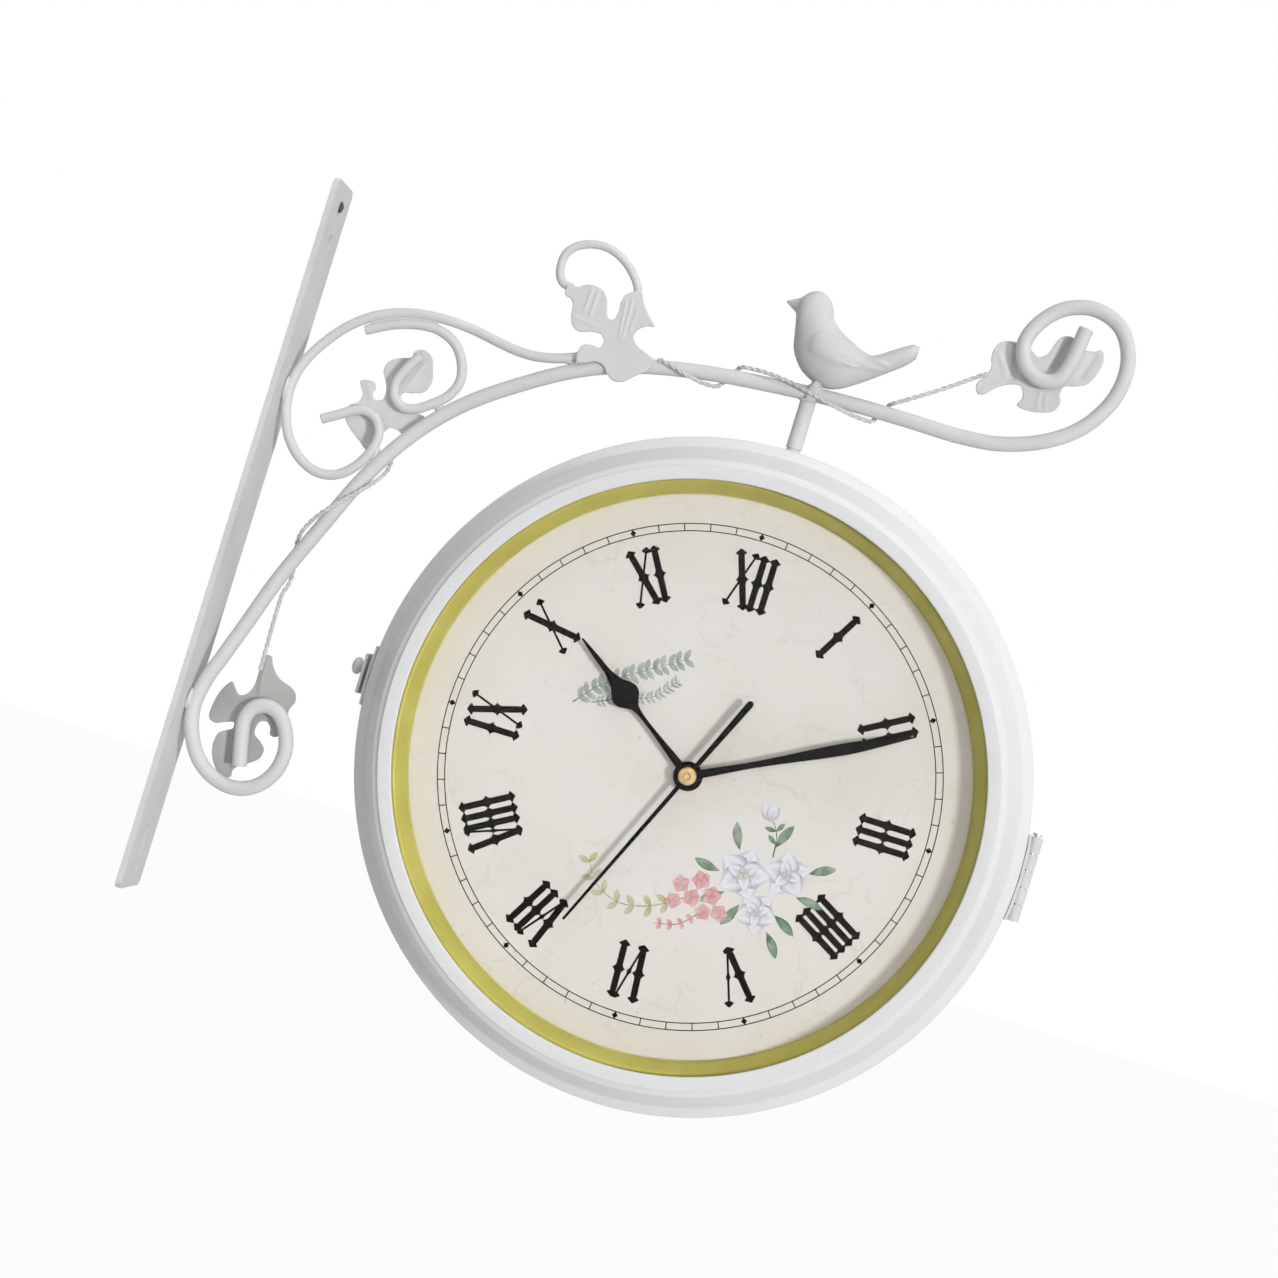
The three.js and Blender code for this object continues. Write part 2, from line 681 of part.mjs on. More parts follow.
// The line of a wall's inner side: each stretch moved in by the wall, and
// neighbouring stretches met where they cross.
function insetLine(points, wall) {
  const moved = [];
  for (let k = 0; k + 1 < points.length; k += 1) {
    const [[r0, h0], [r1, h1]] = [points[k], points[k + 1]];
    const length = Math.hypot(r1 - r0, h1 - h0);
    const [nr, nh] = [(h1 - h0) / length * wall, -(r1 - r0) / length * wall];
    moved.push([[r0 + nr, h0 + nh], [r1 + nr, h1 + nh]]);
  }
  const line = [moved[0][0]];
  for (let k = 0; k + 1 < moved.length; k += 1) {
    const [[a, b], [c, d]] = [moved[k], moved[k + 1]];
    const [dx1, dy1, dx2, dy2] = [b[0] - a[0], b[1] - a[1], d[0] - c[0], d[1] - c[1]];
    const share = ((c[0] - a[0]) * dy2 - (c[1] - a[1]) * dx2) / (dx1 * dy2 - dy1 * dx2);
    line.push([a[0] + share * dx1, a[1] + share * dy1]);
  }
  line.push(moved[moved.length - 1][1]);
  return line;
}

// What the lip traps: the radius of glass, dial and gold ring.
const packRadius = caseRadius - packInset;
const lipInnerRadius = packRadius - lipOverPack;
const lipOuterRadius = lipInnerRadius + lipWidth;

function outerLine(edgeDepth) {
  return [
    [lipInnerRadius, caseHalfDepth], [lipOuterRadius, caseHalfDepth],
    [lipOuterRadius + shoulderWidth, caseHalfDepth - shoulderDrop],
    [caseRadius - bandStep, caseHalfDepth - coneFootSetBack],
    [caseRadius, caseHalfDepth - bandFaceSetBack], [caseRadius, edgeDepth],
  ];
}

const innerWallLine = insetLine(outerLine(seamDepth), caseWall);

// The shell's inner radius at a depth, on the cone between shoulder and foot.
function innerRadiusAt(depth) {
  const [[r0, d0], [r1, d1]] = [innerWallLine[2], innerWallLine[3]];
  return r0 + (r1 - r0) * (depth - d0) / (d1 - d0);
}

function frontShell() {
  const edge = seamDepth + seatGap;
  const outer = outerLine(edge);
  const inner = insetLine(outer, caseWall);
  return piece('front_shell', turned([...outer, ...inner.reverse()]), caseLacquer);
}

function rearShell() {
  const edge = -seamDepth;
  const outer = outerLine(edge);
  const inner = insetLine(outer, caseWall);
  inner.pop();
  const spigotOuter = caseRadius - caseWall - spigotClearance;
  const spigotInner = spigotOuter - spigotWall;
  const spigot = [
    [spigotOuter, edge], [spigotOuter, edge - spigotLength], [spigotInner, edge - spigotLength],
    [spigotInner, edge + spigotRoot], [caseRadius - caseWall, edge + spigotRoot + spigotFlare],
  ];
  const shell = turned([...outer, ...spigot, ...inner.reverse()]);
  const [holeFrom, holeTo] = [caseRadius - stemHoleLength / 2, caseRadius + stemHoleLength / 2];
  const hole = barAlongY(studDiameter / 2 + studClearance, holeFrom, holeTo, 0, 0);
  return piece('rear_shell', cut(shell, hole), caseLacquer);
}

// ---------------------------------------------------------------- case hinge
// Hinge and latch are modelled about the clock's centre: X across, Y back, Z up.

const seamMiddle = -seamDepth - seatGap / 2;
const hingeAxisReach = caseRadius + seatGap + hingeBarrelRadius;
const knuckleHeight = hingeHeight / hingeKnuckles;

// A curved plate that hugs the case's band on its +X side.
function bandPlate(thickness, height, fromY, toY) {
  const ring = ringBetween(caseRadius + seatGap, caseRadius + seatGap + thickness, 0, toY - fromY, bandSegments);
  const standing = ring.rotateX(-Math.PI / 2).translate(0, fromY, 0);
  const window = block(
    [caseRadius / 2, fromY - toolReach, -height / 2], [caseRadius * 2, toY + toolReach, height / 2]);
  return common(standing, window);
}

function knuckle(index, radius, trim) {
  const low = -hingeHeight / 2 + index * knuckleHeight + trim;
  return barAlongZ(radius, low, low + knuckleHeight - 2 * trim, hingeAxisReach, seamMiddle);
}

// One leaf: the band plate, its own knuckles, and room for the other leaf's.
function hingeLeaf(name, side) {
  const near = seamMiddle + side * runGap;
  const far = near + side * hingeLeafWidth;
  let body = bandPlate(hingeLeafThickness, hingeHeight, Math.min(near, far), Math.max(near, far));
  for (let k = 0; k < hingeKnuckles; k += 1) {
    const own = (k % 2 === 0) === (side > 0);
    if (own) {
      body = joined(body, knuckle(k, hingeBarrelRadius, seatGap / 2));
    } else {
      body = cut(body, knuckle(k, hingeBarrelRadius + runGap, -seatGap / 2));
    }
  }
  const bore = barAlongZ(hingePinRadius + seatGap, -hingeHeight, hingeHeight, hingeAxisReach, seamMiddle);
  return piece(name, cut(body, bore), paint);
}

function hingePin() {
  const headLow = hingeHeight / 2 + seatGap;
  const pinTop = headLow + hingePinHeadHeight / 2;
  const pin = barAlongZ(hingePinRadius, -hingeHeight / 2, pinTop, hingeAxisReach, seamMiddle);
  const headHigh = headLow + hingePinHeadHeight;
  const head = barAlongZ(hingePinHeadRadius, headLow, headHigh, hingeAxisReach, seamMiddle);
  return piece('hinge_pin', joined(pin, head), zincSteel);
}

// ---------------------------------------------------------------- case latch
// The latch is modelled on the +X side and turned to the -X side afterwards, so
// its Y runs the other way while it is being made.

const latchFace = caseRadius + seatGap + latchPlateThickness;
const latchAxisReach = latchFace + runGap + latchBarrelRadius;
const latchAxisY = -seamMiddle - latchAxisBehindSeam;

function turnedToLatchSide(geometry) {
  return geometry.rotateZ(Math.PI);
}

function latchBase() {
  const inner = -seamMiddle - seatGap;
  let body = bandPlate(
    latchPlateThickness, latchHeight, inner - latchPlateWidth - latchPlateBehind, inner);
  [-1, 1].forEach((end) => {
    const from = end * (latchKnuckleHeight / 2 + seatGap);
    const to = end * haspHeight / 2;
    const [low, high] = [Math.min(from, to), Math.max(from, to)];
    const foot = block(
      [caseRadius + seatGap + latchFootSink, latchAxisY - latchBarrelRadius, low],
      [latchAxisReach, latchAxisY + latchBarrelRadius, high]);
    body = joined(body, foot, barAlongZ(latchBarrelRadius, low, high, latchAxisReach, latchAxisY));
  });
  const bore = barAlongZ(latchPinRadius + seatGap, -latchHeight, latchHeight, latchAxisReach, latchAxisY);
  return piece('latch_base', turnedToLatchSide(cut(body, bore)), paint);
}

function latchPin() {
  const pin = barAlongZ(latchPinRadius, -haspHeight / 2, haspHeight / 2, latchAxisReach, latchAxisY);
  return piece('latch_pin', turnedToLatchSide(pin), zincSteel);
}

const haspInner = latchAxisReach - haspThickness;

function latchHasp() {
  const half = latchKnuckleHeight / 2;
  const barrel = barAlongZ(latchBarrelRadius, -half, half, latchAxisReach, latchAxisY);
  const flapStart = latchAxisY + latchBarrelRadius + runGap;
  const flap = block(
    [haspInner, flapStart, -haspHeight / 2], [latchAxisReach, latchAxisY + haspLength, haspHeight / 2]);
  const tongue = block([haspInner, latchAxisY, -half], [latchAxisReach, flapStart + rootOverlap, half]);
  const knobY = latchAxisY + haspLength / 2 + haspKnobPastMiddle;
  const knobFoot = latchAxisReach - haspThickness / 2;
  const knobReach = latchAxisReach + haspKnobRadius * (haspKnobFlatness + haspKnobNeck);
  const neck = barAlongX(haspKnobRadius / 2, knobFoot, knobReach, knobY, haspKnobRise);
  const knob = new THREE.SphereGeometry(haspKnobRadius, barSides, barSides / 2)
    .scale(haspKnobFlatness, 1, 1)
    .translate(knobReach, knobY, haspKnobRise);
  const bore = barAlongZ(latchPinRadius + seatGap, -latchHeight, latchHeight, latchAxisReach, latchAxisY);
  const whole = cut(joined(barrel, flap, tongue, neck, knob), bore);
  return piece('latch_hasp', turnedToLatchSide(whole), paint);
}

function latchKeeper() {
  const inner = -seamMiddle + seatGap;
  const plate = bandPlate(latchPlateThickness, latchHeight, inner, inner + latchPlateWidth);
  const ribMiddle = inner + latchPlateWidth * keeperRibPlace;
  const rib = block(
    [latchFace - latchPlateThickness / 2, ribMiddle - keeperRibWidth / 2, -haspHeight / 2],
    [latchFace + keeperRibHeight, ribMiddle + keeperRibWidth / 2, haspHeight / 2]);
  return piece('latch_keeper', turnedToLatchSide(joined(plate, rib)), paint);
}

// ---------------------------------------------------------------- face pieces

const glassOuterDepth = caseHalfDepth - caseWall - seatGap;
const glassInnerDepth = glassOuterDepth - glassThickness;
const dialBackDepth = caseHalfDepth - dialSetBack;
const dialFaceDepth = dialBackDepth + dialThickness;

function glassPane(name) {
  return piece(name, ringBetween(0, packRadius, glassInnerDepth, glassOuterDepth), clearGlass);
}

// The gold ring lies between dial and glass and opens out towards the viewer.
function trimRing(name) {
  const [low, high] = [dialFaceDepth + seatGap, glassInnerDepth - seatGap];
  const profile = [
    [packRadius - trimRingWidth, low], [packRadius, low], [packRadius, high], [lipInnerRadius, high]];
  return piece(name, turned(profile), goldLacquer);
}

function dialSheet(name) {
  const disc = ringBetween(dialHoleRadius, packRadius, dialBackDepth, dialFaceDepth);
  return piece(name, disc, printedPaper);
}

function retainingRing(name) {
  const high = dialBackDepth - seatGap;
  const low = high - retainerThickness;
  const outer = innerRadiusAt(high) - 2 * seatGap;
  return piece(name, ringBetween(packRadius - retainerWidth, outer, low, high), cardBoard);
}

// ---------------------------------------------------------------- movement

const movementFront = dialBackDepth - seatGap;
const movementBack = movementFront - movementDepth;
const bushingTop = dialFaceDepth + bushingStand;
const tubeFoot = bushingTop - tubeDepth;

function movementCase(name) {
  const half = movementSide / 2;
  const outline = [];
  [[1, 1], [-1, 1], [-1, -1], [1, -1]].forEach(([sx, sy], k) => {
    const first = [sx * half, sy * (half - movementCorner)];
    const second = [sx * (half - movementCorner), sy * half];
    outline.push(...(k % 2 === 0 ? [first, second] : [second, first]));
  });
  const box = cutPlate(outline, movementDepth).translate(0, 0, movementBack);
  const bushing = barAlongZ(bushingRadius, movementFront - rootOverlap, bushingTop);
  const bore = barAlongZ(hourTubeRadius + seatGap, tubeFoot - boreBelowTubes, bushingTop + toolReach);
  const bayHalf = batteryRadius + batterySideClearance;
  const bayEnd = batteryLength / 2 + batterySideClearance;
  const bay = block(
    [-bayEnd, batteryBayCentre - bayHalf, movementBack - toolReach],
    [bayEnd, batteryBayCentre + bayHalf, movementFront - batteryFloor]);
  const pocket = barAlongZ(
    knobRadius + runGap, movementBack - toolReach, movementBack + knobPocketDepth, knobAcross, knobUp);
  return piece(name, cut(joined(box, bushing), bore, bay, pocket), blackPlastic);
}

function battery(name) {
  const depth = movementFront - batteryFloor - seatGap - batteryRadius;
  const [left, right] = [-batteryLength / 2, batteryLength / 2];
  const canEnd = right - batteryStub;
  const can = barAlongX(batteryRadius, left, canEnd, batteryBayCentre, depth);
  const stub = barAlongX(batteryRadius / 3, canEnd - rootOverlap, right, batteryBayCentre, depth);
  return piece(name, joined(can, stub), batteryWrap);
}

function setKnob(name) {
  const high = movementBack + knobPocketDepth - seatGap;
  const knob = barAlongZ(knobRadius, high - knobHeight, high, knobAcross, knobUp);
  return piece(name, knob, blackPlastic);
}

function movementNut(name) {
  const low = dialFaceDepth + seatGap;
  const nut = hexNut(nutFlatsOverBushing, bushingRadius + seatGap, low, low + nutThickness);
  return piece(name, nut, brass);
}

// ---------------------------------------------------------------- hands

const hourHandDepth = bushingTop + handStackGap;
const minuteHandDepth = hourHandDepth + handSheet + handStackGap;
const secondHandDepth = minuteHandDepth + handSheet + handStackGap;

// Turns a hand from twelve o'clock to its hour, clockwise for its own viewer.
function setToTurn(mesh, turns) {
  mesh.rotation.z = -2 * Math.PI * turns;
  return mesh;
}

// A blade that is one long leaf with a bulb, mirrored about its middle line.
function handOutline(rightSide) {
  const leftSide = rightSide.slice(1, -1).map(([across, up]) => [-across, up]).reverse();
  return [...rightSide, ...leftSide];
}

function hourHand(name) {
  const outline = handOutline([
    [0, hourHandLength], [0.9, hourBulbCentre + 10], [hourBulbHalfWidth * 0.6, hourBulbCentre + 4],
    [hourBulbHalfWidth, hourBulbCentre - 0.5], [hourBulbHalfWidth * 0.85, hourBulbCentre - 3.4],
    [hourBulbHalfWidth * 0.35, hourBulbCentre - 6.6], [0.9, hourBulbCentre - 10], [1.5, 0], [0, -1],
  ]);
  const blade = cutPlate(outline, handSheet).translate(0, 0, hourHandDepth);
  const hub = barAlongZ(hourHubRadius, hourHandDepth, hourHandDepth + handSheet, 0, 0, hubSides);
  const tube = barAlongZ(hourTubeRadius, tubeFoot, hourHandDepth + handSheet / 2);
  const bore = barAlongZ(minuteTubeRadius + seatGap, tubeFoot - toolReach, minuteHandDepth);
  const hand = piece(name, cut(joined(blade, hub, tube), bore), blackLacquer);
  return setToTurn(hand, (shownHour + shownMinute / 60) / 12);
}

function minuteHand(name) {
  const outline = handOutline([
    [0, minuteHandLength], [0.7, minuteBulbCentre + 12], [minuteBulbHalfWidth, minuteBulbCentre + 1],
    [minuteBulbHalfWidth * 0.8, minuteBulbCentre - 3], [0.7, minuteBulbCentre - 13],
    [1.4, 0], [0, -1],
  ]);
  const blade = cutPlate(outline, handSheet).translate(0, 0, minuteHandDepth);
  const hub = barAlongZ(minuteHubRadius, minuteHandDepth, minuteHandDepth + handSheet, 0, 0, hubSides);
  const tube = barAlongZ(minuteTubeRadius, tubeFoot - seatGap, minuteHandDepth + handSheet / 2);
  const bore = barAlongZ(secondPinRadius + seatGap, tubeFoot - boreBelowTubes, secondHandDepth);
  const hand = piece(name, cut(joined(blade, hub, tube), bore), blackLacquer);
  return setToTurn(hand, shownMinute / 60);
}

function secondHand(name) {
  const outline = [
    [-secondTipHalfWidth, secondHandLength], [-secondTipHalfWidth, 0],
    [-secondTailHalfWidth, 0], [-secondTailHalfWidth, -secondTailLength],
    [secondTailHalfWidth, -secondTailLength], [secondTailHalfWidth, 0],
    [secondTipHalfWidth, 0], [secondTipHalfWidth, secondHandLength],
  ];
  const blade = cutPlate(outline, handSheet).translate(0, 0, secondHandDepth);
  const cap = barAlongZ(capRadius, secondHandDepth, secondHandDepth + capHeight, 0, 0, hubSides);
  const pin = barAlongZ(secondPinRadius, tubeFoot - 2 * seatGap, secondHandDepth + handSheet / 2);
  return setToTurn(piece(name, joined(blade, cap, pin), blackLacquer), shownSecond / 60);
}

// ---------------------------------------------------------------- assembly

function facePieces(side) {
  return [
    trimRing(`${side}_trim_ring`),
    glassPane(`${side}_glass`),
    dialSheet(`${side}_dial`),
    retainingRing(`${side}_retaining_ring`),
    movementCase(`${side}_movement`),
    battery(`${side}_battery`),
    setKnob(`${side}_set_knob`),
    movementNut(`${side}_dial_nut`),
    hourHand(`${side}_hour_hand`),
    minuteHand(`${side}_minute_hand`),
    secondHand(`${side}_second_hand`),
  ];
}

const clock = new THREE.Group();

const bracket = new THREE.Group();
bracket.add(wallPlate(), mainArm(), upperScroll(), innerScroll(), tendrilTop());
bracket.add(leaf('leaf_top', topLeafOutline, leafInFront));
bracket.add(leaf('leaf_end', endLeafOutline, leafBehind));
bracket.add(leaf('leaf_foot', footLeafOutline, leafBehind));
bracket.add(leaf('leaf_scroll', scrollLeafOutline, leafBehind));
bracket.add(vineWireOuter(), vineWireLower(), bird());
bracket.add(stemTube(), stemWasher(), stemNut());
clock.add(bracket);

const frontHalf = new THREE.Group();
frontHalf.rotation.set(Math.PI / 2, 0, 0);
frontHalf.add(frontShell(), ...facePieces('front'));

const rearHalf = new THREE.Group();
rearHalf.rotation.set(Math.PI / 2, Math.PI, 0);
rearHalf.add(rearShell(), ...facePieces('rear'));

const clockCase = new THREE.Group();
clockCase.position.set(caseReach, 0, caseHeight);
clockCase.add(frontHalf, rearHalf);
clockCase.add(hingeLeaf('hinge_leaf_front', -1), hingeLeaf('hinge_leaf_rear', 1), hingePin());
clockCase.add(latchBase(), latchPin(), latchHasp(), latchKeeper());
clock.add(clockCase);

export default clock;
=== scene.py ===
"""Studio picture of a double sided station clock on a scrolled wall bracket.

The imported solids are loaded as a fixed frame. Finer surfaces, worked out as whole
arrays, take the place of the solids that show, and every piece gets a procedural
finish. Lengths are millimetres until a mesh is made, which turns them into metres.
"""

import json
import logging
import math
from collections.abc import Sequence
from dataclasses import dataclass, field
from enum import Enum

import bmesh
import bpy
import numpy as np
from mathutils import Matrix, Vector
from mathutils.geometry import delaunay_2d_cdt
from numpy.typing import NDArray

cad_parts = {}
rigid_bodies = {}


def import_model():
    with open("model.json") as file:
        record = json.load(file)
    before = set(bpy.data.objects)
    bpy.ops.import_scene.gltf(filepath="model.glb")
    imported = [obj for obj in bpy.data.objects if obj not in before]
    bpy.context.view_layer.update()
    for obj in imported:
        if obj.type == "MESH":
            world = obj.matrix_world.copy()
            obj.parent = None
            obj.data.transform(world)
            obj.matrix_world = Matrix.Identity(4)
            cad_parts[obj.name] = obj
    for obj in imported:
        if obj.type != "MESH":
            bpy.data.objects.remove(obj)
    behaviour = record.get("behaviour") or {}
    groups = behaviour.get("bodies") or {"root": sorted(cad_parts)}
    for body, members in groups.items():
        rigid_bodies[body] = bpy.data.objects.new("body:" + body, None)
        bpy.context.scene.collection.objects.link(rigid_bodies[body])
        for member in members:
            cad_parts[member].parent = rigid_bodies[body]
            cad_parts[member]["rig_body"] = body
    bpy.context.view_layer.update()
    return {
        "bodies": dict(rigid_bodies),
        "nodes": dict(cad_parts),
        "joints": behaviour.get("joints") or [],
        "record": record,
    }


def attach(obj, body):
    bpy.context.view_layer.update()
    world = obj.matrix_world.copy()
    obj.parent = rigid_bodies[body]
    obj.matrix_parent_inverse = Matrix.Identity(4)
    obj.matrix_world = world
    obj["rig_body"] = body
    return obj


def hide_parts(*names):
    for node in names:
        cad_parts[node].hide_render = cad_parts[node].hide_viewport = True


Array = NDArray[np.float64]
Ints = NDArray[np.int64]
Rgb = tuple[float, float, float]

MM = 0.001
CLOCK_REACH = 206.2
CLOCK_HEIGHT = -37.4985
PLATE_THICKNESS = 2.5
SEAT_GAP = 0.3
FROM_PLATE = PLATE_THICKNESS + SEAT_GAP
REAR_BODY = "bracket_and_rear_case"
SHARP_ANGLE = math.radians(38)
BEVEL_ANGLE = math.radians(32)
FLAT_ANGLE = math.radians(1.0)
MERGE_DISTANCE = 2e-6

log = logging.getLogger("station_clock")


# ---- surfaces


@dataclass
class Surface:
    """Vertices in millimetres, faces as index arrays, and a wash colour per vertex."""

    points: Array
    faces: list[Ints]
    wash: Array | None = None

    def volume(self) -> float:
        """Signed volume: the sum over triangles of a dot (b cross c), over six."""
        total = 0.0
        for group in self.faces:
            a = self.points[group[:, 0]]
            for k in range(1, group.shape[1] - 1):
                b, c = self.points[group[:, k]], self.points[group[:, k + 1]]
                total += float(np.einsum("ij,ij->", a, np.cross(b, c))) / 6
        return total

    def outward(self) -> "Surface":
        """The same closed surface with its faces turned to point outwards."""
        if self.volume() < 0:
            self.faces = [group[:, ::-1] for group in self.faces]
        return self

    def moved(self, points: Array) -> "Surface":
        """The same faces on other vertices, turned outwards again."""
        return Surface(points, list(self.faces), self.wash).outward()


def together(parts: Sequence[Surface]) -> Surface:
    """Several surfaces as one mesh, each keeping its own closed shell.

    Args:
        parts: The surfaces, all with a wash colour or all without.

    Returns:
        One surface that holds every shell.
    """
    offsets = np.cumsum([0] + [len(part.points) for part in parts])
    faces = [group + offset for part, offset in zip(parts, offsets) for group in part.faces]
    washes = [part.wash for part in parts if part.wash is not None]
    wash = np.concatenate(washes) if len(washes) == len(parts) else None
    return Surface(np.concatenate([part.points for part in parts]), faces, wash)


def woven(grid: Array, wrap_rows: bool = False, caps: bool = False) -> Surface:
    """A surface over a grid of points whose columns close into a loop.

    Each face joins the points (i, j), (i, j+1), (i+1, j+1) and (i+1, j).

    Args:
        grid: Points as rows x columns x 3.
        wrap_rows: Whether the last row joins the first.
        caps: Whether each end row closes on its own middle point.

    Returns:
        The closed surface, facing outwards.
    """
    rows, columns = grid.shape[:2]
    index = np.arange(rows * columns).reshape(rows, columns)
    ahead = np.roll(index, -1, axis=0) if wrap_rows else index[1:]
    here = index if wrap_rows else index[:-1]
    beside, beside_ahead = np.roll(here, -1, axis=1), np.roll(ahead, -1, axis=1)
    faces = [np.stack([here, beside, beside_ahead, ahead], axis=-1).reshape(-1, 4)]
    points = grid.reshape(-1, 3)
    if caps:
        poles = np.stack([grid[0].mean(axis=0), grid[-1].mean(axis=0)])
        points = np.concatenate([points, poles])
        first, last = index[0], index[-1]
        start = np.full(columns, rows * columns)
        faces.append(np.stack([start, np.roll(first, -1), first], axis=-1))
        faces.append(np.stack([start + 1, last, np.roll(last, -1)], axis=-1))
    return Surface(points, faces).outward()


def full_turn(count: int) -> Array:
    """Evenly spaced angles once round."""
    return np.linspace(0, 2 * math.pi, count, endpoint=False)


def smooth_line(knots: Array, closed: bool = False, per_span: int = 16) -> Array:
    """Centripetal spline through knots: a cubic on each span whose end slopes come
    from the square roots of the distances to the neighbouring knots.

    Args:
        knots: Points as n x d.
        closed: Whether the line runs back to its first knot.
        per_span: Samples on each span.

    Returns:
        The sampled line, its last point left out where it is closed.
    """
    if closed:
        padded = np.concatenate([knots[-1:], knots, knots[:2]])
    else:
        head, tail = 2 * knots[:1] - knots[1:2], 2 * knots[-1:] - knots[-2:-1]
        padded = np.concatenate([head, knots, tail])
    p0, p1, p2, p3 = padded[:-3], padded[1:-2], padded[2:-1], padded[3:]
    spans = ((p0, p1), (p1, p2), (p2, p3))
    gap = [np.sqrt(np.linalg.norm(b - a, axis=1, keepdims=True)) for a, b in spans]
    slope1 = ((p1 - p0) / gap[0] - (p2 - p0) / (gap[0] + gap[1]) + (p2 - p1) / gap[1]) * gap[1]
    slope2 = ((p2 - p1) / gap[1] - (p3 - p1) / (gap[1] + gap[2]) + (p3 - p2) / gap[2]) * gap[1]
    t = np.linspace(0, 1, per_span, endpoint=False)[None, :, None]
    a, b, m, n = p1[:, None], p2[:, None], slope1[:, None], slope2[:, None]
    line = a + m * t + (3 * (b - a) - 2 * m - n) * t**2 + (2 * (a - b) + m + n) * t**3
    flat = line.reshape(-1, knots.shape[1])
    return flat if closed else np.concatenate([flat, knots[-1:]])


def distances(line: Array) -> Array:
    """Distance run along a line at each of its points."""
    steps = np.linalg.norm(np.diff(line, axis=0), axis=1)
    return np.concatenate([[0.0], np.cumsum(steps)])


def at_distances(line: Array, wanted: Array) -> Array:
    """Points of a line at given distances along it, straight between samples.

    Args:
        line: The line, n x d.
        wanted: Distances along it.

    Returns:
        One point for each distance.
    """
    run = distances(line)
    return np.stack([np.interp(wanted, run, line[:, k]) for k in range(line.shape[1])], axis=-1)


def across_frames(path: Array) -> tuple[Array, Array]:
    """Two unit directions square to a path: the first is the part's depth axis less
    its share along the path, the second is square to both.

    Args:
        path: Points as n x 3, nowhere running straight along the depth axis.

    Returns:
        The two directions at each point.
    """
    along = np.gradient(path, axis=0)
    along /= np.linalg.norm(along, axis=1, keepdims=True)
    depth = np.array([0.0, 1.0, 0.0])
    first = depth - along * along[:, 1:2]
    first /= np.linalg.norm(first, axis=1, keepdims=True)
    return first, np.cross(along, first)


def rod(line: Array, radius: float, step: float, sides: int = 20, edge: float = 0.5) -> Surface:
    """A round rod: circles carried along a line, square to it, whose radius drops as
    a quarter circle over the last stretch at each end.

    Args:
        line: The middle line, n x 3.
        radius: Radius of the rod.
        step: Distance between circles.
        sides: Points round each circle.
        edge: Size of the rounded edge at the cut ends.

    Returns:
        The closed rod.
    """
    length = distances(line)[-1]
    near = edge * np.array([0.0, 0.08, 0.3, 0.6, 1.0])
    inner = np.linspace(edge, length - edge, max(3, int(length / step)))[1:-1]
    run = np.concatenate([near, inner, length - near[::-1]])
    path = at_distances(line, run)
    from_end = np.clip(np.minimum(run, length - run) / edge, 0, 1)
    drop = edge * (1 - np.sqrt(np.clip(1 - (1 - from_end) ** 2, 0, 1)))
    first, second = across_frames(at_distances(line, np.linspace(0, length, 4 * len(run))))
    share = np.linspace(0, length, 4 * len(run))
    frame = [
        np.stack([np.interp(run, share, axis[:, k]) for k in range(3)], axis=-1)
        for axis in (first, second)]
    turn = full_turn(sides)[None, :, None]
    size = (radius - drop)[:, None, None]
    grid = path[:, None] + size * (np.cos(turn) * frame[0][:, None] + np.sin(turn) * frame[1][:, None])
    return woven(grid, caps=True)


def softened(profile: Sequence[tuple[float, float, float]], steps: int = 6) -> Array:
    """A closed profile whose corners are curves: each corner is left by its third
    number on both sides and rounded by a parabola between those two points.

    Args:
        profile: Corners as radius, height and softening length.
        steps: Points on each corner.

    Returns:
        The softened profile, n x 2.
    """
    data = np.array(profile, dtype=float)
    corner, soft = data[:, :2], data[:, 2:3]
    before, after = np.roll(corner, 1, axis=0) - corner, np.roll(corner, -1, axis=0) - corner
    reach = [np.linalg.norm(side, axis=1, keepdims=True) for side in (before, after)]
    start = corner + before / reach[0] * np.minimum(soft, reach[0] * 0.48)
    end = corner + after / reach[1] * np.minimum(soft, reach[1] * 0.48)
    t = np.linspace(0, 1, steps)[None, :, None]
    curve = (1 - t) ** 2 * start[:, None] + 2 * t * (1 - t) * corner[:, None] + t**2 * end[:, None]
    flat = curve.reshape(-1, 2)
    kept = np.linalg.norm(flat - np.roll(flat, 1, axis=0), axis=1) > 1e-5
    return flat[kept]


def turned_ring(profile: Array, segments: int = 192) -> Surface:
    """A ring: a closed profile of radius and height carried round the local out axis.

    Args:
        profile: The section, n x 2.
        segments: Steps round the axis.

    Returns:
        The closed ring.
    """
    turn = full_turn(segments)[:, None]
    radius, height = profile[None, :, 0], profile[None, :, 1]
    grid = np.stack([radius * np.cos(turn), radius * np.sin(turn), height + 0 * turn], axis=-1)
    return woven(grid, wrap_rows=True)


def turned_solid(profile: Sequence[tuple[float, float]], segments: int = 48) -> Surface:
    """A solid of revolution: an open profile from bottom to top, closed on the axis.

    Args:
        profile: Radius and height of each point.
        segments: Steps round the axis.

    Returns:
        The closed solid.
    """
    data = np.array(profile, dtype=float)
    turn = full_turn(segments)[None, :]
    radius, height = data[:, 0:1], data[:, 1:2]
    grid = np.stack([radius * np.cos(turn), radius * np.sin(turn), height + 0 * turn], axis=-1)
    return woven(grid, caps=True)


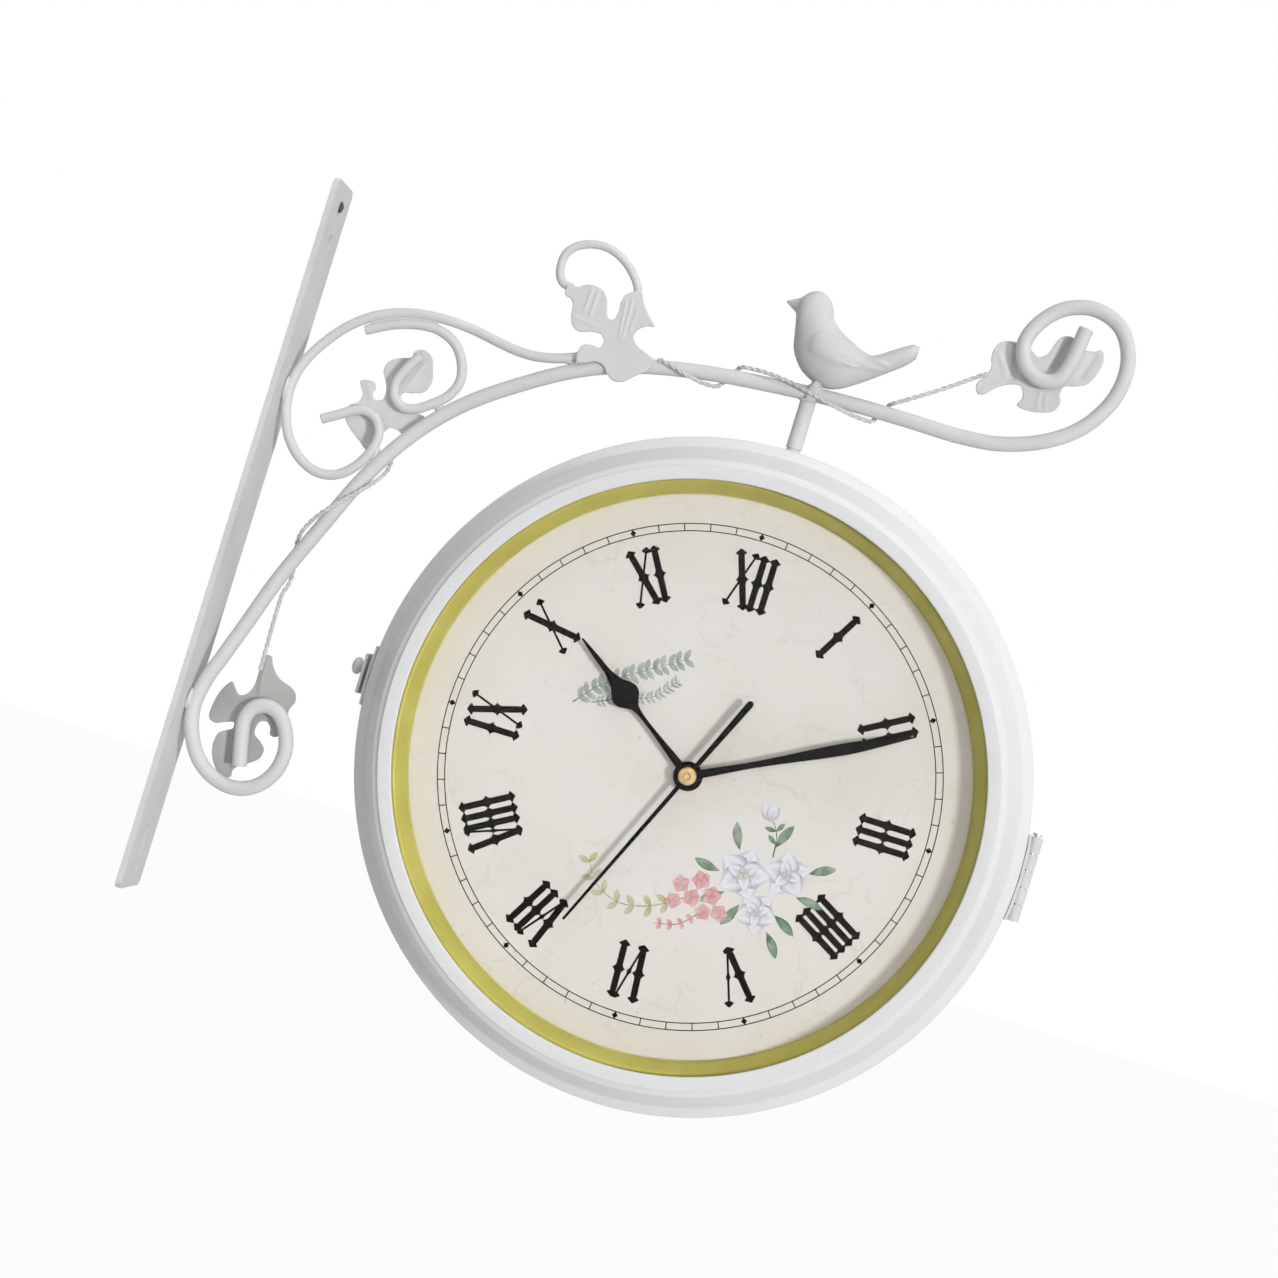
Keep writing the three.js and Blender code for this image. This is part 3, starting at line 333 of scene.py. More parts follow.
def blob(
        middle: Sequence[float], size: Sequence[float], lumps: float = 0.08, phase: float = 0.0) -> Surface:
    """A lumpy drop: an ellipsoid whose radius swells by two crossed waves.

    Args:
        middle: Its centre.
        size: Its three half sizes.
        lumps: Height of the waves as a share of the radius.
        phase: Shifts the waves.

    Returns:
        The closed drop.
    """
    down = np.linspace(0.08, math.pi - 0.08, 16)[:, None]
    turn = full_turn(28)[None, :]
    swell = 1 + lumps * np.sin(3 * turn + phase) * np.sin(2 * down + phase)
    unit = np.stack([
        np.sin(down) * np.cos(turn), np.sin(down) * np.sin(turn), np.cos(down) + 0 * turn], axis=-1)
    return woven(np.array(middle) + unit * swell[..., None] * np.array(size), caps=True)


def ribbon(
        line: Array, half: Array, low: float, high: float, crown: float = 0.0, samples: int = 3) -> Surface:
    """A flat strip in a face's own plane: at each point of its middle line a section
    runs across at the given half width, arched by the crown, and back underneath.

    Args:
        line: Middle line as across and up, n x 2.
        half: Half width at each point.
        low: Depth of the underside.
        high: Depth of the top at its edges.
        crown: How far the middle of the top stands above its edges.
        samples: Points across the top.

    Returns:
        The closed strip in across, up and out.
    """
    along = np.gradient(line, axis=0)
    along /= np.linalg.norm(along, axis=1, keepdims=True)
    side = np.stack([along[:, 1], -along[:, 0]], axis=-1)
    place = np.concatenate([np.linspace(-1, 1, samples), [1.0, -1.0]])
    rise = np.concatenate([high + crown * (1 - np.linspace(-1, 1, samples) ** 2), [low, low]])
    flat = line[:, None] + side[:, None] * half[:, None, None] * place[None, :, None]
    grid = np.concatenate([flat, np.broadcast_to(rise[None, :, None], flat.shape[:2] + (1,))], axis=-1)
    return woven(grid, caps=True)


def repeated(shape: Surface, turns: Array, shifts: Array) -> Surface:
    """Copies of a face's shape, each turned clockwise in its plane and then shifted.

    Args:
        shape: One closed shape in across, up and out.
        turns: Clockwise angle of each copy.
        shifts: Shift of each copy, n x 3.

    Returns:
        All the copies as one surface.
    """
    cos, sin = np.cos(turns)[:, None], np.sin(turns)[:, None]
    across, up, out = shape.points.T
    spun = np.stack([cos * across + sin * up, cos * up - sin * across, out + 0 * cos], axis=-1)
    points = (spun + shifts[:, None]).reshape(-1, 3)
    offset = (np.arange(len(turns)) * len(shape.points))[:, None, None]
    faces = [(group[None] + offset).reshape(-1, group.shape[1]) for group in shape.faces]
    wash = None if shape.wash is None else np.tile(shape.wash, (len(turns), 1))
    return Surface(points, faces, wash)


class Side(Enum):
    """The two faces of the clock."""

    FRONT = "front"
    REAR = "rear"

    @property
    def body(self) -> str:
        """The body that this face's shell belongs to."""
        return "front_door" if self is Side.FRONT else REAR_BODY

    def place(self, shape: Surface) -> Surface:
        """Moves a shape from its face's across, up and out into the part's frame."""
        across, up, out = shape.points.T
        turn = 1 if self is Side.FRONT else -1
        points = np.stack([CLOCK_REACH + turn * across, -turn * out, CLOCK_HEIGHT + up], axis=-1)
        return shape.moved(points)


# ---- finishes


def linear(red: float, green: float, blue: float) -> tuple[float, float, float, float]:
    """A screen colour of 0 to 255 as the linear colour that renders to it.

    Args:
        red: Its red.
        green: Its green.
        blue: Its blue.

    Returns:
        The linear colour, opaque.
    """
    share = np.array([red, green, blue]) / 255
    value = np.where(share <= 0.04045, share / 12.92, ((share + 0.055) / 1.055) ** 2.4)
    return float(value[0]), float(value[1]), float(value[2]), 1.0


class Graph:
    """A node tree with short calls to add and join nodes."""

    def __init__(self, tree: bpy.types.NodeTree) -> None:
        """Keeps the tree that nodes go into."""
        self.tree = tree

    def node(
            self, kind: str, inputs: dict[str | int, object] | None = None,
            **settings: object) -> bpy.types.Node:
        """Adds a node.

        Args:
            kind: The node's type.
            inputs: For each socket, a value or another node's output to join.
            settings: The node's own settings.

        Returns:
            The new node.
        """
        made = self.tree.nodes.new(kind)
        for name, value in settings.items():
            setattr(made, name, value)
        for key, value in (inputs or {}).items():
            if isinstance(value, bpy.types.NodeSocket):
                self.tree.links.new(value, made.inputs[key])
            else:
                made.inputs[key].default_value = value
        return made

    def mixed(self, share: object, first: object, second: object) -> bpy.types.NodeSocket:
        """A colour between two by a share.

        Args:
            share: How much of the second shows.
            first: The colour at none.
            second: The colour at all.

        Returns:
            The mixed colour.
        """
        made = self.node("ShaderNodeMix", {0: share, 6: first, 7: second}, data_type="RGBA")
        return made.outputs[2]

    def sums(self, operation: str, *values: object) -> bpy.types.NodeSocket:
        """A value worked out from others."""
        return self.node("ShaderNodeMath", dict(enumerate(values)), operation=operation).outputs[0]

    def ranged(
            self, value: object, low: float, high: float, to_low: float,
            to_high: float) -> bpy.types.NodeSocket:
        """A value moved from one range to another and held inside it.

        Args:
            value: What is moved.
            low: Start of its own range.
            high: End of its own range.
            to_low: Where the start goes.
            to_high: Where the end goes.

        Returns:
            The moved value.
        """
        inputs = {0: value, 1: low, 2: high, 3: to_low, 4: to_high}
        return self.node("ShaderNodeMapRange", inputs, clamp=True).outputs[0]

    def noise(
            self, vector: object, scale: object, detail: float = 3.0,
            rough: float = 0.55) -> bpy.types.NodeSocket:
        """Cloudy noise between 0 and 1.

        Args:
            vector: Where it is read.
            scale: How many clouds lie in a metre.
            detail: Layers of finer noise.
            rough: How strong the finer layers are.

        Returns:
            The noise.
        """
        inputs = {"Vector": vector, "Scale": scale, "Detail": detail, "Roughness": rough}
        return self.node("ShaderNodeTexNoise", inputs).outputs["Fac"]


SKIN_RESULTS = (
    ("Color", "NodeSocketColor"), ("Roughness", "NodeSocketFloat"), ("Height", "NodeSocketFloat"))


def shader_group(name: str, colors: Sequence[str], values: Sequence[str]) -> tuple[Graph, bpy.types.Node]:
    """Starts a skin's node group, which takes a place, colours and values.

    Args:
        name: The group's name.
        colors: Names of its colour inputs.
        values: Names of its value inputs.

    Returns:
        The group's graph and its input node.
    """
    tree = bpy.data.node_groups.new(name, "ShaderNodeTree")
    taken = [("Vector", "NodeSocketVector")]
    taken += [(label, "NodeSocketColor") for label in colors]
    taken += [(label, "NodeSocketFloat") for label in values]
    for direction, sockets in (("INPUT", taken), ("OUTPUT", SKIN_RESULTS)):
        for label, kind in sockets:
            tree.interface.new_socket(label, in_out=direction, socket_type=kind)
    graph = Graph(tree)
    return graph, graph.node("NodeGroupInput")


def finished_group(graph: Graph, *results: bpy.types.NodeSocket) -> bpy.types.NodeTree:
    """Ends a skin's group.

    Args:
        graph: The group's graph.
        results: Its colour, roughness and height.

    Returns:
        The whole group.
    """
    made = graph.node("NodeGroupOutput")
    for (label, _), result in zip(SKIN_RESULTS, results):
        graph.tree.links.new(result, made.inputs[label])
    return graph.tree


def coating_group() -> bpy.types.NodeTree:
    """Sprayed enamel: a slow drift between two tones, thin streaks, specks of dust,
    and the fine dimples that spray leaves, all from noise at stated scales."""
    graph, given = shader_group("sprayed_enamel", ("Tone", "Shade"), ("Drift", "Dimple", "Gloss"))
    vector = given.outputs["Vector"]
    drift = graph.ranged(graph.noise(vector, given.outputs["Drift"], 4.0), 0.35, 0.7, 0.0, 1.0)
    tone = graph.mixed(drift, given.outputs["Tone"], given.outputs["Shade"])
    speck = graph.ranged(graph.noise(vector, 900.0, 2.0), 0.69, 0.76, 0.0, 0.35)
    dusty = graph.mixed(speck, tone, linear(150, 146, 138))
    fine = graph.noise(vector, given.outputs["Dimple"], 2.0, 0.4)
    runs = graph.noise(vector, 60.0, 2.0, 0.4)
    height = graph.sums("ADD", graph.sums("MULTIPLY", fine, 0.5), graph.sums("MULTIPLY", runs, 0.25))
    rough = graph.sums("ADD", given.outputs["Gloss"], graph.ranged(drift, 0.0, 1.0, -0.04, 0.09))
    return finished_group(graph, dusty, rough, height)


def paper_group() -> bpy.types.NodeTree:
    """Old printed paper: warm clouds and pale stains from slow noise, hair cracks
    where a warped cell pattern is near its edges, brown specks, fibres from stretched
    fine noise, and a buff warmth that grows with the distance from the dial's middle."""
    graph, given = shader_group("aged_paper", ("Tone", "Warm", "Edge"), ("Reach",))
    vector = given.outputs["Vector"]
    parts = graph.node("ShaderNodeSeparateXYZ", {0: vector}).outputs
    flat = graph.node("ShaderNodeCombineXYZ", {0: parts[0], 2: parts[2]}).outputs[0]
    radius = graph.node("ShaderNodeVectorMath", {0: flat}, operation="LENGTH").outputs["Value"]
    cloud = graph.ranged(graph.noise(vector, 22.0, 5.0, 0.6), 0.35, 0.7, 0.0, 1.0)
    toned = graph.mixed(cloud, given.outputs["Tone"], given.outputs["Warm"])
    outer = graph.ranged(graph.sums("DIVIDE", radius, given.outputs["Reach"]), 0.78, 1.0, 0.0, 0.8)
    patches = graph.ranged(graph.noise(vector, 30.0, 4.0, 0.6), 0.3, 0.7, 0.35, 1.0)
    patchy = graph.sums("MULTIPLY", outer, patches)
    edged = graph.mixed(patchy, toned, given.outputs["Edge"])
    bend = graph.node("ShaderNodeTexNoise", {"Vector": vector, "Scale": 45.0, "Detail": 3.0}).outputs["Color"]
    shift = graph.node("ShaderNodeVectorMath", {0: bend, "Scale": 0.03}, operation="SCALE").outputs[0]
    warped = graph.node("ShaderNodeVectorMath", {0: vector, 1: shift}, operation="ADD").outputs[0]
    cells = graph.node("ShaderNodeTexVoronoi", {"Vector": warped, "Scale": 55.0}, feature="DISTANCE_TO_EDGE")
    crack = graph.ranged(cells.outputs["Distance"], 0.0, 0.035, 1.0, 0.0)
    faint = graph.sums("MULTIPLY", crack, graph.ranged(graph.noise(vector, 35.0), 0.42, 0.62, 0.0, 0.28))
    cracked = graph.mixed(faint, edged, linear(200, 184, 168))
    stain = graph.ranged(graph.noise(vector, 11.0, 6.0, 0.65), 0.54, 0.7, 0.0, 0.3)
    stained = graph.mixed(stain, cracked, linear(216, 206, 194))
    spot = graph.ranged(graph.noise(vector, 420.0, 2.0), 0.7, 0.76, 0.0, 0.4)
    spotted = graph.mixed(spot, stained, linear(160, 138, 116))
    drawn = graph.node("ShaderNodeMapping", {"Vector": vector, "Scale": (1.0, 1.0, 3.5)}).outputs[0]
    fibre = graph.noise(drawn, 500.0)
    fuzzy = graph.mixed(graph.ranged(fibre, 0.45, 0.75, 0.0, 0.12), spotted, linear(190, 178, 164))
    height = graph.sums("ADD", fibre, graph.sums("MULTIPLY", faint, -1.0))
    rough = graph.ranged(cloud, 0.0, 1.0, 0.74, 0.86)
    return finished_group(graph, fuzzy, rough, height)


def metal_group() -> bpy.types.NodeTree:
    """Bright metal: streaks from noise stretched along one axis, cloudy tarnish, and
    pits from fine noise."""
    graph, given = shader_group("worked_metal", ("Tone", "Tarnish"), ("Gloss",))
    vector = given.outputs["Vector"]
    along = graph.node("ShaderNodeMapping", {"Vector": vector, "Scale": (1.0, 0.08, 1.0)}).outputs[0]
    streak = graph.noise(along, 1800.0, 3.0)
    cloud = graph.ranged(graph.noise(vector, 320.0, 4.0), 0.4, 0.72, 0.0, 0.7)
    tone = graph.mixed(cloud, given.outputs["Tone"], given.outputs["Tarnish"])
    rough = graph.sums("ADD", given.outputs["Gloss"], graph.ranged(cloud, 0.0, 0.7, -0.05, 0.16))
    height = graph.sums("ADD", streak, graph.sums("MULTIPLY", cloud, 0.4))
    return finished_group(graph, tone, rough, height)


def moulding_group() -> bpy.types.NodeTree:
    """Moulded or lacquered black: a fine spark texture, faint handling marks, and a
    slow change of tone."""
    graph, given = shader_group("dark_skin", ("Tone", "Worn"), ("Gloss", "Grain"))
    vector = given.outputs["Vector"]
    fine = graph.noise(vector, given.outputs["Grain"], 3.0)
    marks = graph.ranged(graph.noise(vector, 140.0, 5.0, 0.65), 0.5, 0.75, 0.0, 0.6)
    tone = graph.mixed(marks, given.outputs["Tone"], given.outputs["Worn"])
    rough = graph.sums("ADD", given.outputs["Gloss"], graph.ranged(fine, 0.3, 0.7, -0.06, 0.08))
    return finished_group(graph, tone, rough, fine)


class Skins:
    """The shader groups, each built once and shared by the finishes."""

    def __init__(self) -> None:
        """Builds every group."""
        self.coating = coating_group()
        self.paper = paper_group()
        self.metal = metal_group()
        self.moulding = moulding_group()


@dataclass(frozen=True)
class Finish:
    """A finish: its slot in the record and the steps that its kinds share."""

    name: str
    slot: str

    def build(self, skins: Skins) -> bpy.types.Material:
        """Makes the material.

        Args:
            skins: The shared shader groups.

        Returns:
            The finished material.
        """
        material = bpy.data.materials.new(self.name)
        material.use_nodes = True
        material.node_tree.nodes.clear()
        graph = Graph(material.node_tree)
        shader = self.shade(graph, skins)
        graph.node("ShaderNodeOutputMaterial", {"Surface": shader})
        return material

    def shade(self, graph: Graph, skins: Skins) -> bpy.types.NodeSocket:
        """Builds the nodes; each kind of finish has its own.

        Args:
            graph: The material's graph.
            skins: The shared shader groups.

        Returns:
            The shader's output.
        """
        raise NotImplementedError

    def skin(self, graph: Graph, tree: bpy.types.NodeTree, values: dict[str, object]) -> bpy.types.Node:
        """Places a shared group on the piece's own coordinates.

        Args:
            graph: The material's graph.
            tree: The group.
            values: The group's inputs.

        Returns:
            The group node.
        """
        where = graph.node("ShaderNodeTexCoord").outputs["Object"]
        made = graph.node("ShaderNodeGroup", node_tree=tree)
        graph.tree.links.new(where, made.inputs["Vector"])
        for key, value in values.items():
            made.inputs[key].default_value = value
        return made

    def bumped(
            self, graph: Graph, height: bpy.types.NodeSocket, depth: float,
            strength: float) -> bpy.types.NodeSocket:
        """A normal from a height.

        Args:
            graph: The material's graph.
            height: The height, 0 to 1.
            depth: Its full swing in metres.
            strength: How much of it shows.

        Returns:
            The normal.
        """
        made = graph.node("ShaderNodeBump", {"Height": height, "Strength": strength, "Distance": depth})
        return made.outputs["Normal"]


@dataclass(frozen=True)
class Enamel(Finish):
    """White or coloured sprayed enamel."""

    tone: Rgb = (216, 218, 217)
    shade_tone: Rgb = (209, 211, 210)
    drift: float = 28.0
    dimple: float = 750.0
    gloss: float = 0.38
    dimple_depth: float = 0.00006
    metal: float = 0.0
    coat: float = 0.1
    specular: float = 0.4

    def shade(self, graph: Graph, skins: Skins) -> bpy.types.NodeSocket:
        """Enamel from the shared coating."""
        skin = self.skin(graph, skins.coating, {
            "Tone": linear(*self.tone), "Shade": linear(*self.shade_tone), "Drift": self.drift,
            "Dimple": self.dimple, "Gloss": self.gloss})
        inputs = {
            "Base Color": skin.outputs["Color"], "Roughness": skin.outputs["Roughness"],
            "Normal": self.bumped(graph, skin.outputs["Height"], self.dimple_depth, 0.5),
            "Metallic": self.metal, "Coat Weight": self.coat, "Coat Roughness": 0.3,
            "Specular IOR Level": self.specular}
        return graph.node("ShaderNodeBsdfPrincipled", inputs).outputs[0]


@dataclass(frozen=True)
class Paper(Finish):
    """The dial's printed paper."""

    tone: Rgb = (231, 228, 224)
    warm: Rgb = (228, 223, 215)
    edge: Rgb = (225, 218, 204)
    reach: float = 0.112

    def shade(self, graph: Graph, skins: Skins) -> bpy.types.NodeSocket:
        """Paper from the shared group, centred on the dial."""
        skin = self.skin(graph, skins.paper, {
            "Tone": linear(*self.tone), "Warm": linear(*self.warm), "Edge": linear(*self.edge),
            "Reach": self.reach})
        where = graph.node("ShaderNodeTexCoord").outputs["Object"]
        shift = (-CLOCK_REACH * MM, 0.0, -CLOCK_HEIGHT * MM)
        centred = graph.node("ShaderNodeMapping", {"Vector": where, "Location": shift}).outputs[0]
        graph.tree.links.new(centred, skin.inputs["Vector"])
        inputs = {
            "Base Color": skin.outputs["Color"], "Roughness": skin.outputs["Roughness"],
            "Normal": self.bumped(graph, skin.outputs["Height"], 0.00003, 0.4),
            "Specular IOR Level": 0.12}
        return graph.node("ShaderNodeBsdfPrincipled", inputs).outputs[0]


@dataclass(frozen=True)
class Metal(Finish):
    """Bare or plated metal."""

    tone: Rgb = (205, 206, 208)
    tarnish: Rgb = (150, 150, 150)
    gloss: float = 0.3

    def shade(self, graph: Graph, skins: Skins) -> bpy.types.NodeSocket:
        """Metal from the shared group."""
        skin = self.skin(graph, skins.metal, {
            "Tone": linear(*self.tone), "Tarnish": linear(*self.tarnish), "Gloss": self.gloss})
        inputs = {
            "Base Color": skin.outputs["Color"], "Roughness": skin.outputs["Roughness"],
            "Normal": self.bumped(graph, skin.outputs["Height"], 0.00002, 0.4), "Metallic": 0.95}
        return graph.node("ShaderNodeBsdfPrincipled", inputs).outputs[0]


@dataclass(frozen=True)
class DarkSkin(Finish):
    """Black lacquer, black plastic, ink or dyed board."""

    tone: Rgb = (26, 24, 22)
    worn: Rgb = (38, 36, 34)
    gloss: float = 0.42
    grain: float = 2200.0
    grain_depth: float = 0.00003
    specular: float = 0.12

    def shade(self, graph: Graph, skins: Skins) -> bpy.types.NodeSocket:
        """Dark skin from the shared group."""
        skin = self.skin(graph, skins.moulding, {
            "Tone": linear(*self.tone), "Worn": linear(*self.worn), "Gloss": self.gloss, "Grain": self.grain})
        inputs = {
            "Base Color": skin.outputs["Color"], "Roughness": skin.outputs["Roughness"],
            "Normal": self.bumped(graph, skin.outputs["Height"], self.grain_depth, 0.4),
            "Specular IOR Level": self.specular}
        return graph.node("ShaderNodeBsdfPrincipled", inputs).outputs[0]


@dataclass(frozen=True)
class Wash(Finish):
    """Coloured ink laid on paper: the tone of each spot comes from the piece's own
    wash attribute, broken up by the pooling and grain of watery ink."""

    pooling: float = 260.0

    def shade(self, graph: Graph, skins: Skins) -> bpy.types.NodeSocket:
        """Washed ink from the wash attribute and noise."""
        where = graph.node("ShaderNodeTexCoord").outputs["Object"]
        tone = graph.node("ShaderNodeAttribute", attribute_name="wash").outputs["Color"]
        pool = graph.ranged(graph.noise(where, self.pooling, 4.0, 0.6), 0.4, 0.75, 0.0, 0.45)
        thin = graph.mixed(pool, tone, linear(236, 232, 226))
        grain = graph.noise(where, 1500.0, 2.0)
        deep = graph.mixed(graph.ranged(grain, 0.5, 0.75, 0.0, 0.18), thin, linear(120, 118, 116))
        inputs = {
            "Base Color": deep, "Roughness": 0.8, "Normal": self.bumped(graph, grain, 0.00002, 0.3),
            "Specular IOR Level": 0.12}
        return graph.node("ShaderNodeBsdfPrincipled", inputs).outputs[0]


@dataclass(frozen=True)
class ClearPane(Finish):
    """Clear glass that lets lamp light and bounced light straight through."""

    tint: Rgb = (254, 254, 254)

    def shade(self, graph: Graph, skins: Skins) -> bpy.types.NodeSocket:
        """Glass to the eye, and a clear filter to lamp and bounce rays."""
        where = graph.node("ShaderNodeTexCoord").outputs["Object"]
        smear = graph.ranged(graph.noise(where, 30.0, 4.0), 0.4, 0.8, 0.0, 0.02)
        glass = graph.node("ShaderNodeBsdfPrincipled", {
            "Base Color": linear(*self.tint), "Roughness": smear, "Transmission Weight": 1.0,
            "IOR": 1.1, "Specular IOR Level": 0.3})
        clear = graph.node("ShaderNodeBsdfTransparent", {"Color": linear(*self.tint)})
        path = graph.node("ShaderNodeLightPath")
        through = graph.sums("MAXIMUM", path.outputs["Is Shadow Ray"], path.outputs["Is Diffuse Ray"])
        mix = graph.node("ShaderNodeMixShader", {0: through, 1: glass.outputs[0], 2: clear.outputs[0]})
        return mix.outputs[0]


@dataclass(frozen=True)
class BatteryWrap(Finish):
    """A battery's printed sleeve: a dark body with a coppery end, by position."""

    body: Rgb = (58, 92, 76)
    band: Rgb = (176, 120, 74)
    band_start: float = (CLOCK_REACH + 12.0) * MM

    def shade(self, graph: Graph, skins: Skins) -> bpy.types.NodeSocket:
        """A sleeve in two colours with fine scuffs."""
        where = graph.node("ShaderNodeTexCoord").outputs["Object"]
        reach = graph.node("ShaderNodeSeparateXYZ", {0: where}).outputs[0]
        band = graph.ranged(reach, self.band_start, self.band_start + 0.0002, 0.0, 1.0)
        tone = graph.mixed(band, linear(*self.body), linear(*self.band))
        scuff = graph.ranged(graph.noise(where, 400.0, 5.0), 0.55, 0.8, 0.0, 0.4)
        inputs = {
            "Base Color": graph.mixed(scuff, tone, linear(170, 168, 160)),
            "Roughness": graph.ranged(scuff, 0.0, 0.4, 0.3, 0.5), "Metallic": 0.2,
            "Normal": self.bumped(graph, scuff, 0.00003, 0.3)}
        return graph.node("ShaderNodeBsdfPrincipled", inputs).outputs[0]


FRAME_PAINT = Enamel(
    "bracket_white_paint", "white_paint", tone=(213, 214, 213), shade_tone=(205, 206, 205), gloss=0.56,
    coat=0.0, specular=0.25, dimple_depth=0.00005)
BIRD_PAINT = Enamel(
    "bird_thick_white_paint", "white_paint", tone=(208, 209, 207), shade_tone=(199, 200, 198),
    dimple=420.0, dimple_depth=0.0001, gloss=0.6, coat=0.0, specular=0.22)
# The foot leaf's paint is the frame's white made darker as painted shade: the leaf is as white as the rest,
# and the darker tone stands for shade that the lamps don't cast on it.
FOOT_LEAF_PAINTED_SHADE = Enamel(
    "foot_leaf_paint_painted_shade", "white_paint", tone=(176, 177, 174), shade_tone=(162, 163, 160), gloss=0.6,
    coat=0.0, specular=0.2, dimple_depth=0.00005)
WIRE_PAINT = Enamel(
    "wire_white_paint", "white_paint", tone=(212, 213, 211), shade_tone=(190, 190, 185), drift=260.0,
    gloss=0.55, coat=0.0, specular=0.25)
CASE_LACQUER = Enamel(
    "case_white_lacquer", "case_lacquer", tone=(224, 224, 225), shade_tone=(219, 220, 221),
    drift=14.0, dimple=1100.0, dimple_depth=0.00003, gloss=0.4, coat=0.0, specular=0.25)
GOLD_LACQUER = Enamel(
    "ring_gold_lacquer", "gold_lacquer", tone=(190, 182, 92), shade_tone=(176, 168, 74),
    drift=55.0, dimple=1300.0, dimple_depth=0.00004, gloss=0.46, metal=0.1, coat=0.0, specular=0.3)
DIAL_PAPER = Paper("dial_aged_paper", "dial_print")
DIAL_INK = DarkSkin(
    "dial_black_ink", "dial_print", tone=(22, 19, 18), worn=(38, 34, 32), gloss=0.7, specular=0.05)
DIAL_WASH = Wash("dial_coloured_ink", "dial_print")
HAND_LACQUER = DarkSkin(
    "hand_black_lacquer", "black_lacquer", tone=(14, 13, 12), worn=(19, 18, 17), specular=0.05)
HUB_BRASS = Metal("hub_brass", "brass", tone=(186, 160, 116), tarnish=(132, 104, 70), gloss=0.36)
SCREW_BLACK = DarkSkin(
    "screw_dark_zinc", "zinc_steel", tone=(52, 54, 60), worn=(96, 98, 104), gloss=0.3, specular=0.5)
BOLT_STEEL = Metal("bolt_zinc_steel", "zinc_steel")
CLOCK_PLASTIC = DarkSkin(
    "movement_black_plastic", "black_plastic", tone=(34, 34, 35), worn=(46, 46, 47), gloss=0.5,
    grain=1400.0, grain_depth=0.00006, specular=0.4)
BACK_BOARD = DarkSkin(
    "ring_grey_board", "grey_board", tone=(184, 178, 164), worn=(166, 160, 146), gloss=0.8,
    grain=700.0, grain_depth=0.0001, specular=0.2)
PANE = ClearPane("pane_clear_glass", "window_glass")
SLEEVE = BatteryWrap("battery_sleeve", "battery_wrap")


# ---- the bench


def placed(name: str, data: bpy.types.ID) -> bpy.types.Object:
    """A new object in the scene that shows this mesh, lamp or camera."""
    made = bpy.data.objects.new(name, data)
    bpy.context.scene.collection.objects.link(made)
    return made


class Bench:
    """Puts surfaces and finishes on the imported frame."""

    def __init__(self, frame: dict) -> None:
        """Keeps the frame and starts the shared groups."""
        self.nodes: dict[str, bpy.types.Object] = frame["nodes"]
        self.skins = Skins()
        self.made: dict[str, bpy.types.Material] = {}

    def material(self, finish: Finish) -> bpy.types.Material:
        """The finish's material, built the first time it is asked for."""
        if finish.name not in self.made:
            self.made[finish.name] = finish.build(self.skins)
        return self.made[finish.name]

    def body_of(self, node: str) -> str:
        """The body that a solid belongs to."""
        return self.nodes[node]["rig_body"]

    def add(
            self, name: str, shape: Surface, finish: Finish, body: str = "",
            stands_for: Sequence[str] = ()) -> bpy.types.Object:
        """Makes a piece from a surface in the part's frame.

        Args:
            name: The piece's name.
            shape: Its surface.
            finish: Its finish.
            body: The body it rides on, or that of the first solid it stands for.
            stands_for: The solids whose place it takes.

        Returns:
            The new object.
        """
        mesh = bpy.data.meshes.new(name)
        faces = [face for group in shape.faces for face in group.tolist()]
        mesh.from_pydata((shape.points * MM).tolist(), [], faces)
        mesh.polygons.foreach_set("use_smooth", np.ones(len(faces), dtype=bool))
        mesh.set_sharp_from_angle(angle=SHARP_ANGLE)
        if shape.wash is not None:
            layer = mesh.color_attributes.new(name="wash", type="FLOAT_COLOR", domain="POINT")
            layer.data.foreach_set("color", shape.wash.astype(np.float32).ravel())
        piece = placed(name, mesh)
        return self.settle(piece, finish, body or self.body_of(stands_for[0]), stands_for)

    def settle(
            self, piece: bpy.types.Object, finish: Finish, body: str,
            stands_for: Sequence[str]) -> bpy.types.Object:
        """Gives a piece its finish and body, and hides the solids it stands for.

        Args:
            piece: The piece.
            finish: Its finish.
            body: The body it rides on.
            stands_for: The solids whose place it takes.

        Returns:
            The same piece.
        """
        piece.data.materials.clear()
        piece.data.materials.append(self.material(finish))
        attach(piece, body)
        if stands_for:
            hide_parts(*stands_for)
        log.info("%s on %s: %d faces, %s", piece.name, body, len(piece.data.polygons), finish.name)
        return piece

    def eased(self, node: str, finish: Finish, width: float, segments: int = 2) -> bpy.types.Object:
        """A merged copy of a solid whose edges are rounded.

        Args:
            node: The solid it stands for.
            finish: Its finish.
            width: Size of the rounding.
            segments: Steps across each rounding.

        Returns:
            The new object.
        """
        mesh = self.nodes[node].data.copy()
        work = bmesh.new()
        work.from_mesh(mesh)
        bmesh.ops.remove_doubles(work, verts=work.verts, dist=MERGE_DISTANCE)
        bmesh.ops.dissolve_limit(work, angle_limit=FLAT_ANGLE, verts=work.verts, edges=work.edges)
        work.to_mesh(mesh)
        work.free()
        mesh.name = f"{node}_eased"
        mesh.polygons.foreach_set("use_smooth", np.ones(len(mesh.polygons), dtype=bool))
        mesh.set_sharp_from_angle(angle=SHARP_ANGLE)
        piece = placed(f"{node}_eased", mesh)
        bevel = piece.modifiers.new("rounding", "BEVEL")
        bevel.width, bevel.segments, bevel.limit_method = width * MM, segments, "ANGLE"
        bevel.angle_limit = BEVEL_ANGLE
        bevel.harden_normals = True
        return self.settle(piece, finish, self.body_of(node), (node,))


# ---- bracket

